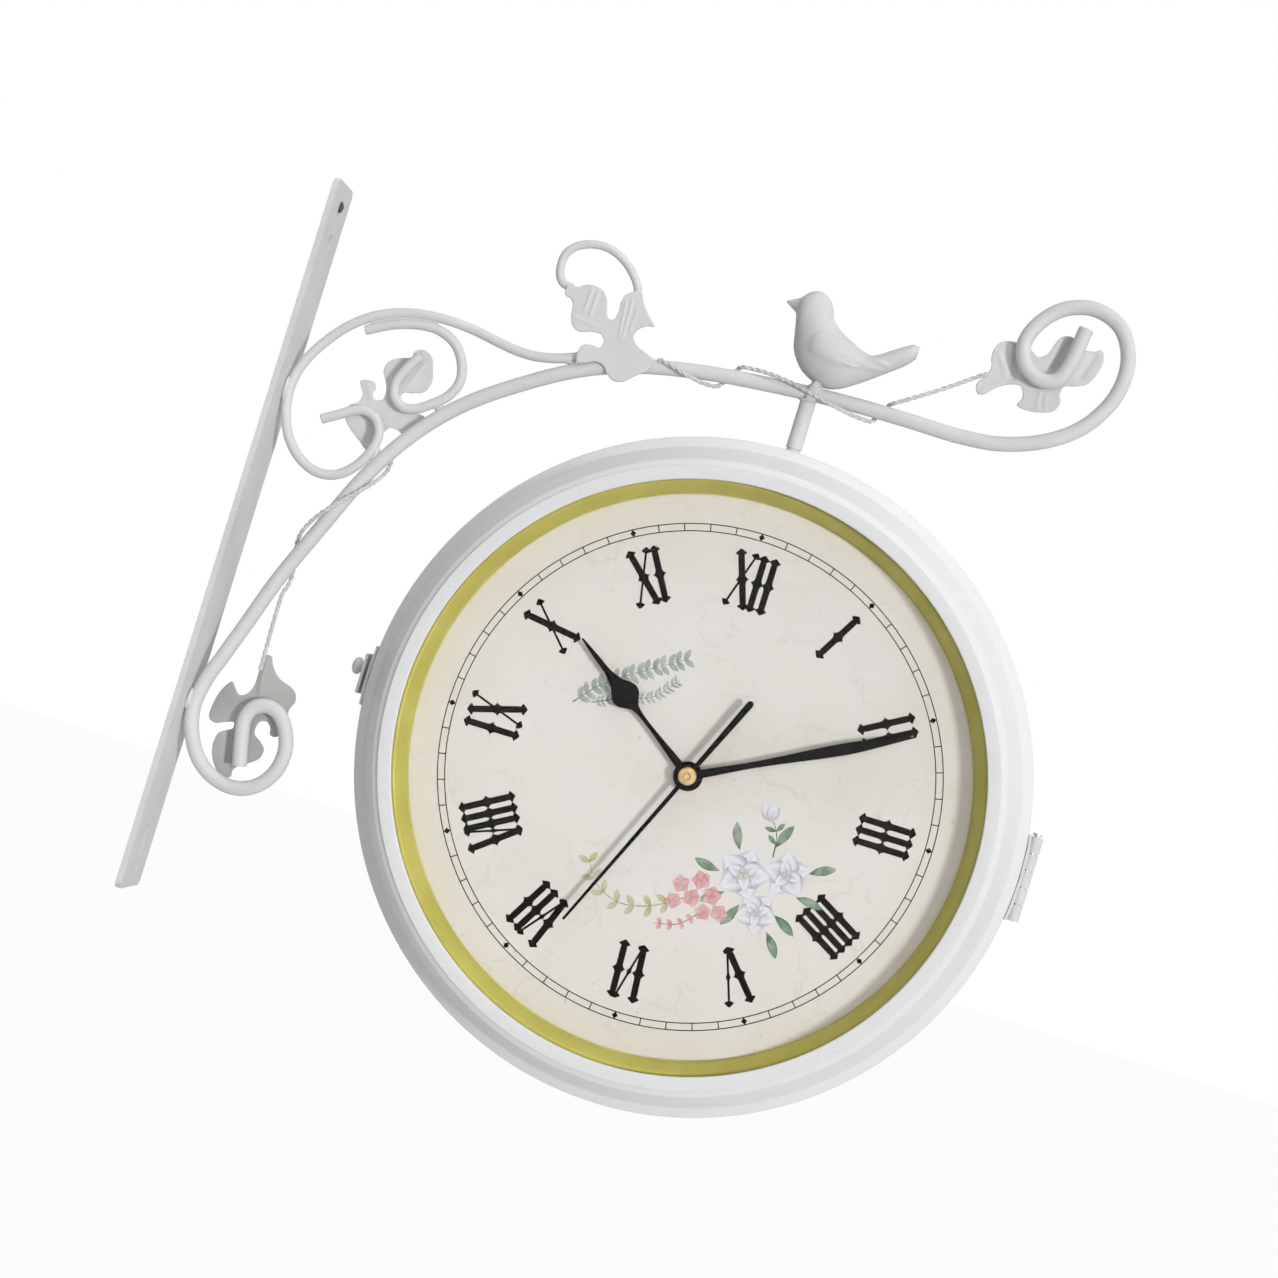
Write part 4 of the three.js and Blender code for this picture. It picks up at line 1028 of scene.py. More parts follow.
ARM_ROUTE = [
    (25, -88.5), (22.6, -78), (21.4, -69.5), (23.7, -64.3), (28.2, -62.2), (33.2, -63.2),
    (37.8, -68), (41, -77), (39.6, -86.5), (34.2, -93.8), (25.7, -97.4), (16.7, -96),
    (8.7, -91), (3.2, -83), (0.5, -75), (0, -68.5), (1.6, -59), (5.6, -47.5),
    (11.2, -31), (17.2, -13), (27.2, 11), (39.7, 39), (52.7, 59.5), (67.7, 75.8),
    (88.2, 91), (111.2, 104.2), (132.1, 111.6), (156.2, 116.4), (184.2, 119.4), (214.2, 121.2),
    (239.2, 121.4), (262.2, 121.2), (278.2, 123), (295.4, 129.6), (307.7, 139.5), (315.5, 154),
    (316, 168.5), (309.7, 180), (298.7, 184.34), (287.2, 181.6), (278.7, 173.4), (275.2, 163.5),
    (278.4, 155.3), (285.6, 151.6), (291.6, 153.4), (294.5, 160), (296.8, 176)]
UPPER_SCROLL_ROUTE = [
    (111.8, 109.9), (105.4, 107), (99.2, 105), (92, 103.6), (84.4, 103.5), (76.5, 104.6),
    (63.1, 106.8), (49.7, 107.3), (36.4, 105.4), (24.8, 100.8), (15.8, 94.1), (8.4, 85.3),
    (3, 76.2), (0.3, 67.5), (0.2, 58.5), (2.4, 50), (6.4, 42.6), (13.2, 36.4),
    (21.4, 33.6), (29, 35.2), (35.6, 41.2), (39.6, 49.4), (40, 56.3), (37.4, 61),
    (32.7, 62.9), (27.6, 61.8), (22.7, 58.7), (15.9, 54.6)]
INNER_SCROLL_ROUTE = [
    (22.4, 94), (32.2, 99.2), (42.8, 102.3), (51.6, 102.4), (59.3, 98.9), (64.1, 92),
    (65.4, 84.6), (62.6, 78.2), (57.4, 73.4), (51.6, 69.6), (45.8, 68.8), (41.5, 72.4),
    (40.7, 77.6), (43, 83.7), (47, 90.6)]
TENDRIL_ROUTE = [
    (100.2, 133.9), (97.7, 134.1), (95.4, 135), (93.6, 137.6), (92.8, 141.2), (92.9, 144.4),
    (93.8, 147.2), (95.9, 149.7), (98.8, 151.6), (102, 152.8), (105.9, 153.4), (109.9, 153.1),
    (114, 151.7), (117.8, 149.5), (121.2, 146.5), (123.9, 143.3), (125.5, 140.2), (126.2, 135.5)]
SEAM_ROUTE = [(25.7, 97.4), (34.2, 101.6), (44.8, 104.5), (52.2, 104.9)]


def bracket_line(route: Sequence[tuple[float, float]], first_reach: float, depth: float = 0.0) -> Array:
    """A route of reach and height as a smooth line in the bracket's upright plane.

    Args:
        route: Reach and height of each point.
        first_reach: Added to each reach, past the plate.
        depth: How far the plane lies from the bracket's middle.

    Returns:
        The line, n x 3.
    """
    knots = np.array(route, dtype=float) + (FROM_PLATE + first_reach, 0)
    flat = smooth_line(knots)
    return np.stack([flat[:, 0], np.full(len(flat), depth), flat[:, 1]], axis=-1)


@dataclass
class BracketRods:
    """The plate and the bent rods."""

    arm: float = 6.0
    scroll: float = 4.0
    tendril: float = 3.4
    seam: float = 1.7
    screw_radius: float = 2.4
    screw_lift: float = 0.2
    screw_height: float = 138.7
    plate_rounding: float = 0.8
    step: float = 1.1

    def arm_line(self) -> Array:
        """The arm's middle line."""
        return bracket_line(ARM_ROUTE, self.arm / 2)

    def build(self, bench: Bench) -> None:
        """Makes the plate, the four rods, the keyhole's screw head and the welds."""
        bench.eased("wall_plate", FRAME_PAINT, self.plate_rounding, 3)
        arm = rod(self.arm_line(), self.arm / 2, self.step, 28)
        bench.add("main_arm_rod", arm, FRAME_PAINT, stands_for=["main_arm"])
        upper = rod(bracket_line(UPPER_SCROLL_ROUTE, self.scroll / 2), self.scroll / 2, self.step, 24)
        bench.add("upper_scroll_rod", upper, FRAME_PAINT, stands_for=["upper_scroll"])
        inner = rod(bracket_line(INNER_SCROLL_ROUTE, self.scroll / 2), self.scroll / 2, self.step, 24)
        bench.add("inner_scroll_rod", inner, FRAME_PAINT, stands_for=["inner_scroll"])
        depth = -self.arm / 2 + self.tendril / 2
        loop = rod(bracket_line(TENDRIL_ROUTE, 0.0, depth), self.tendril / 2, self.step, 20)
        bench.add("tendril_top_rod", loop, FRAME_PAINT, stands_for=["tendril_top"])
        seam = rod(bracket_line(SEAM_ROUTE, 0.0), self.seam / 2, self.step, 14)
        bench.add("keyhole_screw_head", self.screw(), SCREW_BLACK, body=REAR_BODY)
        bench.add("bracket_welds", together([self.welds(), seam]), FRAME_PAINT, body=REAR_BODY)

    def screw(self) -> Surface:
        """The dark screw head at the top of the upper keyhole: a low dome."""
        out, radius = PLATE_THICKNESS + self.screw_lift, self.screw_radius
        dome = turned_solid([
            (radius * 0.9, out - 0.5), (radius, out), (radius * 0.8, out + 0.7),
            (radius * 0.35, out + 1.0), (radius * 0.2, out + 0.6)], 28)
        across, up, height = dome.points.T
        return dome.moved(np.stack([height, across, self.screw_height + up], axis=-1))

    def welds(self) -> Surface:
        """Paint covered welds where rods meet the plate, the arm and each other."""
        plate = FROM_PLATE - SEAT_GAP / 2
        spots = [
            ((plate + 0.9, 0, -68.5), (1.5, 3.6, 4.6)), ((plate + 0.8, 0, 62.5), (1.3, 3.4, 4.8)),
            ((45.9, 0.3, 47.4), (1.9, 1.7, 3.4)), ((66.2, 0.3, 72.4), (3.0, 1.6, 1.7)),
            ((108.6, 0.2, 105.8), (4.2, 1.6, 1.6))]
        return together([blob(middle, size, 0.09, k) for k, (middle, size) in enumerate(spots)])


# ---- leaves


@dataclass(frozen=True)
class Lobe:
    """One lobe of a leaf: where its tip is and how far it bends back."""

    tip: tuple[float, float]
    bend: float


@dataclass(frozen=True)
class Crease:
    """A pressed line: its two ends, how far it stands up, and its half width."""

    start: tuple[float, float]
    end: tuple[float, float]
    rise: float = 0.4
    width: float = 0.7


@dataclass(frozen=True)
class LeafShape:
    """A stamped leaf: its outline, middle, depth, lobes and creases."""

    node: str
    middle: tuple[float, float]
    depth: float
    lobes: tuple[Lobe, ...]
    creases: tuple[Crease, ...]
    outline: tuple[tuple[float, float], ...]


LEAF_SHAPES = (
    LeafShape("leaf_top", (121.2, 119.8), -4.5, (
        Lobe((103.5, 127), 0.5), Lobe((127, 137), 0.3)), (
        Crease((108.2, 135.5), (107.6, 126), 0.3, 0.6), Crease((110.8, 135), (110.4, 125), 0.32, 0.6),
        Crease((122.6, 134.5), (124.2, 119.5), 0.3, 0.6),
        Crease((124.8, 135.5), (125.6, 119.5), 0.34, 0.6),
        Crease((104, 122.6), (114.5, 121.4), 0.16, 0.8), Crease((128, 133), (127.4, 123), 0.2, 0.7)), (
        (97.8, 132), (98.2, 134.3), (102.2, 134.6), (105.4, 136.4), (108.8, 136.9), (112.4, 136),
        (114.8, 133.4), (116.2, 129), (117.8, 126), (120, 126.2), (120.9, 130), (120.6, 134),
        (121.8, 137), (124.8, 139.4), (127.6, 139.6), (129.4, 136), (133.2, 131.4), (136.4, 128),
        (133.6, 127.4), (130.4, 124.8), (129.7, 121.6), (132, 118.8), (137.8, 116.4), (140.8, 114.6),
        (138.8, 110.4), (134.8, 107), (130.8, 103.4), (127.2, 102.6), (124.1, 104.2), (121.4, 107.2),
        (117.6, 107.9), (114, 106.2), (110.8, 105.6), (109.9, 108.6), (111, 112.8), (114.6, 113.9),
        (118, 113.8), (118.8, 116.4), (116.8, 119), (112.6, 118.9), (107.8, 117.6), (104.6, 119.4),
        (103.1, 123), (102.4, 127), (100.8, 129.4), (98.6, 129.9))),
    LeafShape("leaf_end", (292.2, 155.7), 3.3, (
        Lobe((268, 148), 0.8), Lobe((309.5, 165), 1.6), Lobe((289, 140), 0.3)), (
        Crease((275.4, 164), (278.4, 150), -1.9, 1.7), Crease((296, 172), (292.6, 156), -2.2, 2),
        Crease((269.6, 158), (275, 150.6), 0.3, 1.1), Crease((290.4, 140.4), (289.6, 148), 0.24, 0.7),
        Crease((293.6, 141), (292.2, 148), 0.24, 0.7), Crease((306.4, 168.4), (302.8, 157), -0.8, 1.6),
        Crease((267.6, 141.8), (275.6, 148.2), 0.28, 1.2)), (
        (264.9, 143.3), (267, 147.5), (268.6, 151.3), (267.4, 156), (268.2, 160.8), (270.6, 163),
        (276.2, 164), (281.7, 162.4), (285.2, 160.8), (288.4, 163), (289.8, 167.2), (291.6, 170.8),
        (295.8, 172.2), (298.4, 169.3), (302, 168.6), (305.9, 169.3), (308.4, 170.6), (310.2, 167),
        (309.4, 161.5), (306.7, 156), (302.7, 153.8), (298.2, 152.2), (297.5, 148.7), (298.7, 145.8),
        (297.2, 142), (292.2, 139.9), (287.2, 139.2), (282.6, 140), (283.8, 143.6), (281.8, 147.6),
        (277.2, 147), (272.7, 144.2), (268.7, 140.4), (266.5, 140.2))),
    LeafShape("leaf_foot", (22.2, -70), 3.3, (
        Lobe((37, -54), 2.8), Lobe((12, -66), 1.2), Lobe((20, -92), 1), Lobe((34, -82), 2.4)), (
        Crease((24.8, -44), (26, -58), 0.7, 1.1), Crease((19.4, -76.5), (22.6, -91), -1.2, 1.8),
        Crease((10.8, -68), (18.6, -65.4), 0.2, 0.9), Crease((34.4, -56), (25.4, -60), 0.24, 1)), (
        (23.8, -43), (26.1, -42.8), (27.4, -45.6), (29.6, -48.6), (32.8, -50.9), (37, -52.3),
        (39.6, -54.3), (40.6, -57.6), (39.4, -61.2), (40.2, -66), (39.6, -71), (37.4, -73.4),
        (35.2, -73), (34.6, -70.4), (32.4, -68.4), (29.8, -69.3), (28.8, -72), (29.2, -74.8),
        (32, -76.9), (34.2, -79.4), (33.6, -83.4), (30.4, -86.4), (26.8, -88.6), (24.6, -91.2),
        (24.4, -94.2), (21.2, -94.8), (17.8, -92.4), (15.2, -88.2), (14.1, -83), (15, -78.6),
        (17.5, -76.6), (20, -75), (19.8, -72.6), (16.6, -73.4), (12.4, -75), (9.4, -73.8), (8.8, -70),
        (9.8, -63.6), (11.8, -59.4), (14, -57.2), (15.8, -59), (18.4, -61.4), (21.4, -60), (23.2, -56),
        (23.3, -50))),
    LeafShape("leaf_scroll", (39, 68), 3.3, (
        Lobe((50, 91), 1.2), Lobe((34.5, 53), 2), Lobe((55.5, 64), 0.4)), (
        Crease((47, 91.6), (41, 78), -1.1, 1.5), Crease((51, 88.5), (46.6, 77), 0.3, 1),
        Crease((38, 50.5), (37.6, 60), -1.4, 2), Crease((31, 74), (34.6, 68), 0.4, 1.2)), (
        (27.9, 74.2), (30.6, 75.4), (33.6, 75.2), (34.7, 73), (34.2, 70.6), (35.4, 68.8), (38.6, 69.4),
        (39.2, 72.5), (38, 76.4), (35.6, 81), (36.4, 84.8), (40.2, 87.6), (44.6, 89.4), (45.4, 92.2),
        (48.8, 93.6), (52.6, 91.8), (54.6, 87), (55.7, 82), (54, 77.4), (50, 75.6), (45.8, 74.4),
        (46, 70.8), (50.7, 68.6), (55.8, 68.2), (58.8, 66.8), (57.2, 62), (52, 58), (48.4, 59.4),
        (45, 59.6), (43.2, 57), (41.6, 51), (38.2, 48.2), (34.2, 50.9), (28.8, 55), (25.8, 59),
        (26.4, 63.4), (29.6, 65.8), (30.4, 69), (28.8, 72))),
)


def inside(rim: Array, spots: Array) -> NDArray[np.bool_]:
    """Whether each spot lies inside a closed line: a ray from it towards larger reach
    crosses the line an odd number of times.

    Args:
        rim: The closed line, n x 2.
        spots: The spots, m x 2.

    Returns:
        True for each spot inside.
    """
    start, end = rim[None], np.roll(rim, -1, axis=0)[None]
    across, up = spots[:, None, 0], spots[:, None, 1]
    spans = (start[..., 1] > up) != (end[..., 1] > up)
    rise = np.where(np.abs(end[..., 1] - start[..., 1]) < 1e-9, 1e-9, end[..., 1] - start[..., 1])
    meets = start[..., 0] + (up - start[..., 1]) / rise * (end[..., 0] - start[..., 0])
    return (spans & (across < meets)).sum(axis=1) % 2 == 1


@dataclass
class StampedLeaves:
    """Four leaves pressed from sheet, with creases and lobes bent out of plane."""

    sheet: float = 1.2
    spacing: float = 0.42
    edge: float = 0.35

    def build(self, bench: Bench) -> None:
        """Makes each leaf in its solid's place."""
        for shape in LEAF_SHAPES:
            # The foot leaf takes the darker copy of the white paint, which is painted shade.
            paint = FOOT_LEAF_PAINTED_SHADE if shape.node == "leaf_foot" else FRAME_PAINT
            bench.add(f"{shape.node}_stamped", self.stamped(shape), paint, stands_for=[shape.node])

    def relief(self, shape: LeafShape, flat: Array) -> Array:
        """How far the sheet stands out of its plane. Each lobe bends as the square of
        the distance along it, weighted by how squarely a point lies in its direction;
        each crease is a bell shaped ridge or groove that fades at both of its ends.

        Args:
            shape: The leaf.
            flat: Points of the leaf as reach and height, n x 2.

        Returns:
            Depth added at each point, away from the viewer.
        """
        from_middle = flat - np.array(shape.middle)
        reach = np.linalg.norm(from_middle, axis=-1) + 1e-9
        depth = np.zeros(len(flat))
        for lobe in shape.lobes:
            axis = np.array(lobe.tip) - np.array(shape.middle)
            length = float(np.linalg.norm(axis))
            along = from_middle @ axis / length**2
            facing = np.clip(from_middle @ axis / (length * reach), 0, 1) ** 3
            depth += lobe.bend * facing * np.clip(along, 0, 1.2) ** 2
        for crease in shape.creases:
            axis = np.array(crease.end) - np.array(crease.start)
            length = float(np.linalg.norm(axis))
            offset = flat - np.array(crease.start)
            along = offset @ axis / length**2
            across = (offset[:, 0] * axis[1] - offset[:, 1] * axis[0]) / length
            fade = np.clip(1.25 - np.abs(along - 0.5) * 2, 0, 0.5) * 2
            depth -= crease.rise * fade * fade * (3 - 2 * fade) * np.exp(-((across / crease.width) ** 2))
        return depth - min(0.0, float(depth.min()) + 0.5)

    def stamped(self, shape: LeafShape) -> Surface:
        """A leaf's closed sheet: a triangle mesh over an even grid of points inside the
        outline for each side, joined by a strip round the rim. Each point lies at its
        relief, the far side one sheet deeper; both sides round off towards the rim as
        a quarter circle."""
        rim = smooth_line(np.array(shape.outline), closed=True, per_span=6)
        turned = float(np.cross(rim, np.roll(rim, -1, axis=0)).sum())
        low, high = rim.min(axis=0), rim.max(axis=0)
        columns = np.arange(low[0], high[0], self.spacing)
        rows = np.arange(low[1], high[1], self.spacing * 0.87)
        across, up = np.meshgrid(columns, rows)
        across = across + (np.arange(len(rows)) % 2)[:, None] * self.spacing / 2
        spots = np.column_stack([across.ravel(), up.ravel()])
        spots = spots[inside(rim, spots)]
        apart = np.sqrt(((spots[:, None] - rim[None]) ** 2).sum(axis=-1)).min(axis=1)
        clear = apart > self.spacing * 0.5
        spots, apart = spots[clear], apart[clear]
        count, flat = len(rim), np.concatenate([rim, spots])
        loop = np.arange(count)
        edges = np.column_stack([loop, np.roll(loop, -1)]).tolist()
        found = delaunay_2d_cdt([Vector(spot) for spot in flat.tolist()], edges, [loop.tolist()], 1, 1e-6)
        kept = np.array([origin[0] for origin in found[3]])
        near = kept[np.array(found[2])]
        a, b, c = (flat[near[:, k]] for k in range(3))
        near = np.where((np.cross(b - a, c - a) * turned < 0)[:, None], near[:, ::-1], near)
        total, ahead = len(flat), np.roll(loop, -1)
        strip = np.stack([ahead, loop, loop + total, ahead + total], axis=-1)
        from_rim = np.clip(np.concatenate([np.zeros(count), apart]) / self.edge, 0, 1)
        drop = self.edge * (1 - np.sqrt(1 - (1 - from_rim) ** 2))
        depth = shape.depth + self.relief(shape, flat)
        both = np.concatenate([depth + drop, depth + self.sheet - drop])
        reach, height = np.tile(flat[:, 0], 2) + FROM_PLATE, np.tile(flat[:, 1], 2)
        points = np.column_stack([reach, both, height])
        return Surface(points, [near, near[:, ::-1] + total, strip]).outward()


# ---- vine wires


@dataclass
class VineWires:
    """Two twisted wires that wind round the arm between the leaves."""

    coil_radius: float = 4.8
    strand: float = 0.6
    helix: float = 0.34
    pitch: float = 6.0
    end_depth: float = 1.9
    sag: float = 0.6
    arm_samples: int = 801
    first_sample: int = 160
    last_sample: int = 601
    turn_samples: int = 24

    def wound(self, arm: Array, stops: Sequence[tuple[float, float]]) -> Array:
        """Points round the arm: at each reach the wire stands off the arm's middle by
        the coil's radius, turned by its number of quarters from the top.

        Args:
            arm: The arm's middle line.
            stops: Reach along the arm and quarter turns there.

        Returns:
            The wound points.
        """
        even = at_distances(arm, np.linspace(0, distances(arm)[-1], self.arm_samples))
        reach = even[self.first_sample:self.last_sample, 0]
        spots = [float(np.argmin(np.abs(reach - stop[0]))) + self.first_sample for stop in stops]
        quarters = [stop[1] for stop in stops]
        turns = np.abs(np.diff(quarters)) / 4
        counts = np.maximum(2, np.round(turns * self.turn_samples)).astype(int)
        knots = np.concatenate([[0], np.cumsum(counts)])
        index = np.interp(np.arange(knots[-1] + 1), knots, spots)
        angle = np.interp(np.arange(knots[-1] + 1), knots, quarters) * math.pi / 2
        grid = np.arange(self.arm_samples)
        centre = np.stack([np.interp(index, grid, even[:, k]) for k in range(3)], axis=-1)
        slope = np.gradient(even, axis=0)
        slope /= np.linalg.norm(slope, axis=1, keepdims=True)
        along = np.stack([np.interp(index, grid, slope[:, k]) for k in range(3)], axis=-1)
        up = np.stack([-along[:, 2], np.zeros(len(along)), along[:, 0]], axis=-1)
        front = np.array([0.0, -1.0, 0.0])
        return centre + self.coil_radius * (np.cos(angle)[:, None] * up + np.sin(angle)[:, None] * front)

    def leaf_end(self, shape: LeafShape, across: float, up: float) -> Array:
        """The wire's end over the stem of a leaf.

        Args:
            shape: The leaf.
            across: Reach past the outline's first point.
            up: Height over that point.

        Returns:
            The end, 1 x 3.
        """
        reach, height = shape.outline[0]
        return np.array([[reach + across + FROM_PLATE, self.end_depth, height + up]])

    def twisted(self, knots: Array) -> Surface:
        """Two strands about a line, half a turn apart, each a circle carried on a thin
        helix so that the paint leaves only shallow furrows between them."""
        line = smooth_line(knots, per_span=12)
        length = distances(line)[-1]
        run = np.arange(0, length, 0.45)
        path = at_distances(line, run)
        first, second = across_frames(path)
        strands = []
        for phase in (0.0, math.pi):
            angle = (2 * math.pi * run / self.pitch + phase)[:, None]
            helix = path + self.helix * (np.cos(angle) * first + np.sin(angle) * second)
            strands.append(rod(helix, self.strand, 0.5, 9, 0.15))
        return together(strands)

    def build(self, bench: Bench, arm: Array) -> None:
        """Makes both wires in their solids' places.

        Args:
            bench: The bench.
            arm: The arm's middle line.
        """
        stops = [
            (144.8, 0.6), (168, 2), (178, 4), (CLOCK_REACH - 0.2, 5), (CLOCK_REACH + 24.8, 6),
            (CLOCK_REACH + 32.8, 8)]
        wound = self.wound(arm, stops)
        end = self.leaf_end(LEAF_SHAPES[1], 3.2, 5.4)
        middle = (wound[-1:] + end) / 2 - (0, 0, self.sag)
        bench.add("vine_wire_outer_twist", self.twisted(np.concatenate([wound, middle, end])), WIRE_PAINT,
                  stands_for=["vine_wire_outer"])
        lower = self.wound(arm, [(52, 3), (47, 2), (31, 0), (22.5, -2)])
        end = self.leaf_end(LEAF_SHAPES[2], 0.3, -6.5)
        bench.add("vine_wire_lower_twist", self.twisted(np.concatenate([lower, end])), WIRE_PAINT,
                  stands_for=["vine_wire_lower"])


# ---- bird


@dataclass
class PerchedBird:
    """A cast bird on one leg, its head to the wall."""

    reach: float = 207.6
    perch: float = 123.87
    leg: float = 2.3
    half_width: float = 9.4
    # Back outline, breast outline and half width share at each station, beak to tail.
    stations: list[tuple[float, float, float, float, float]] = field(default_factory=lambda: [
        (-21.3, 29.7, -21.2, 28.9, 0.03), (-18.6, 31.0, -19.0, 27.6, 0.15), (-15.9, 32.6, -16.5, 25.9, 0.34),
        (-13.5, 35.2, -15.9, 24.0, 0.54), (-9.6, 36.8, -15.2, 21.2, 0.68), (-5.4, 35.3, -14.6, 18.2, 0.72),
        (-2.6, 31.8, -14.0, 15.2, 0.75), (-1.4, 28.3, -13.2, 12.2, 0.82), (1.6, 24.9, -11.2, 8.6, 0.93),
        (5.4, 22.6, -7.6, 4.6, 1.0), (9.6, 20.5, -2.4, 1.8, 0.99), (13.6, 18.8, 3.6, 0.4, 0.9),
        (17.0, 18.1, 9.0, 1.9, 0.78), (20.4, 19.5, 14.2, 5.0, 0.67), (24.4, 22.3, 20.0, 9.2, 0.6),
        (28.6, 25.0, 26.0, 13.8, 0.56), (32.2, 27.0, 31.2, 18.0, 0.5), (34.6, 26.7, 34.4, 21.6, 0.36)])

    def body(self) -> Surface:
        """Rings between the back and breast outlines: each ring is an oval whose one
        axis joins the two outlines and whose other is the bird's width there. The
        sides then swell by the wing's relief."""
        line = smooth_line(np.array(self.stations), per_span=8)
        back, breast, width = line[:, 0:2], line[:, 2:4], line[:, 4] * self.half_width
        middle, spread = (back + breast) / 2, (back - breast) / 2
        turn = full_turn(56)[None, :]
        cos, sin = np.cos(turn), np.sin(turn)
        flat = middle[:, None] + spread[:, None] * cos[..., None]
        depth = width[:, None] * sin
        swell = self.wing_relief(flat) * np.abs(sin) ** 1.5
        grid = np.stack([flat[..., 0], depth + np.sign(depth) * swell, flat[..., 1]], axis=-1)
        return woven(grid, caps=True)

    def wing_relief(self, flat: Array) -> Array:
        """Height of the folded wing over the side: a raised leaf shape from shoulder
        to rump whose lower edge is crisp, with long waves for its feathers."""
        shoulder, rump = np.array([-8.5, 17.5]), np.array([25.0, 15.5])
        axis = rump - shoulder
        length = float(np.linalg.norm(axis))
        from_shoulder = flat - shoulder
        along = from_shoulder @ axis / length**2
        across = (axis[0] * from_shoulder[..., 1] - axis[1] * from_shoulder[..., 0]) / length
        half = 8.2 * np.sqrt(np.clip(along * 2.6, 0, 1)) * np.clip(1.12 - along, 0, 1) ** 0.75 + 1e-6
        inside = np.clip((1 - np.abs(across + 1.5) / half) * 5.0, 0, 1) * np.clip(along * 9, 0, 1)
        eased = inside * inside * (3 - 2 * inside)
        grown = np.clip((along - 0.22) * 4, 0, 1)
        feathers = 0.3 * np.sin(across * 2.1 + along * 2.4) * grown
        return eased * (0.95 + feathers)

    def build(self, bench: Bench) -> None:
        """Makes the body with its leg and the paint that ran round its foot."""
        leg = turned_solid([
            (2.9, -0.9), (2.55, 0.6), (self.leg, 1.6), (self.leg, 3.0), (2.9, 5.0), (4.2, 7.5)], 28)
        eye = [blob((-11.3, side * 5.35, 31.6), (0.95, 0.5, 0.95), 0.0) for side in (-1, 1)]
        whole = together([self.body(), leg, *eye])
        whole.points = whole.points + (self.reach, 0, self.perch)
        bench.add("bird_cast", whole, BIRD_PAINT, stands_for=["bird"])
        run = blob((self.reach - 0.2, -0.9, self.perch - 1.0), (3.1, 3.3, 2.0), 0.1, 1.0)
        under = blob((self.reach - 1.6, -1.0, self.perch - 6.4), (3.6, 3.0, 1.3), 0.12, 2.0)
        down = blob((self.reach - 0.5, -3.1, self.perch - 2.6), (2.5, 1.4, 4.4), 0.12, 0.4)
        bench.add("bird_foot_paint", together([run, under, down]), BIRD_PAINT, body=REAR_BODY)


# ---- stem


@dataclass
class Stem:
    """The tube that the case hangs from."""

    radius: float = 3.2
    top: float = 117.27
    foot: float = 94.8
    stud: float = 2.0
    stud_length: float = 13.0
    eased_end: float = 0.3
    groove: float = 0.7
    groove_low: float = 2.0
    groove_high: float = 2.8
    groove_lean: float = 0.1
    nut_rounding: float = 0.25
    washer_rounding: float = 0.15

    def build(self, bench: Bench) -> None:
        """Makes the tube with its stud; washer and nut keep their solids' shape."""
        tube = turned_solid([
            (self.radius - self.eased_end, self.foot), (self.radius, self.foot + self.eased_end),
            (self.radius, self.foot + self.groove_low),
            (self.radius - self.groove, self.foot + self.groove_low + self.groove_lean),
            (self.radius - self.groove, self.foot + self.groove_high - self.groove_lean),
            (self.radius, self.foot + self.groove_high), (self.radius, self.top - 0.4),
            (self.radius - self.eased_end, self.top)], 40)
        stud = turned_solid([
            (self.stud - 0.4, self.foot - self.stud_length), (self.stud, self.foot - self.stud_length + 0.5),
            (self.stud, self.foot + 0.2)], 28)
        whole = together([tube, stud])
        whole.points = whole.points + (CLOCK_REACH, 0, 0)
        bench.add("stem_tube_round", whole, FRAME_PAINT, stands_for=["stem_tube"])
        bench.eased("stem_nut", BOLT_STEEL, self.nut_rounding)
        bench.eased("stem_washer", BOLT_STEEL, self.washer_rounding)


# ---- case


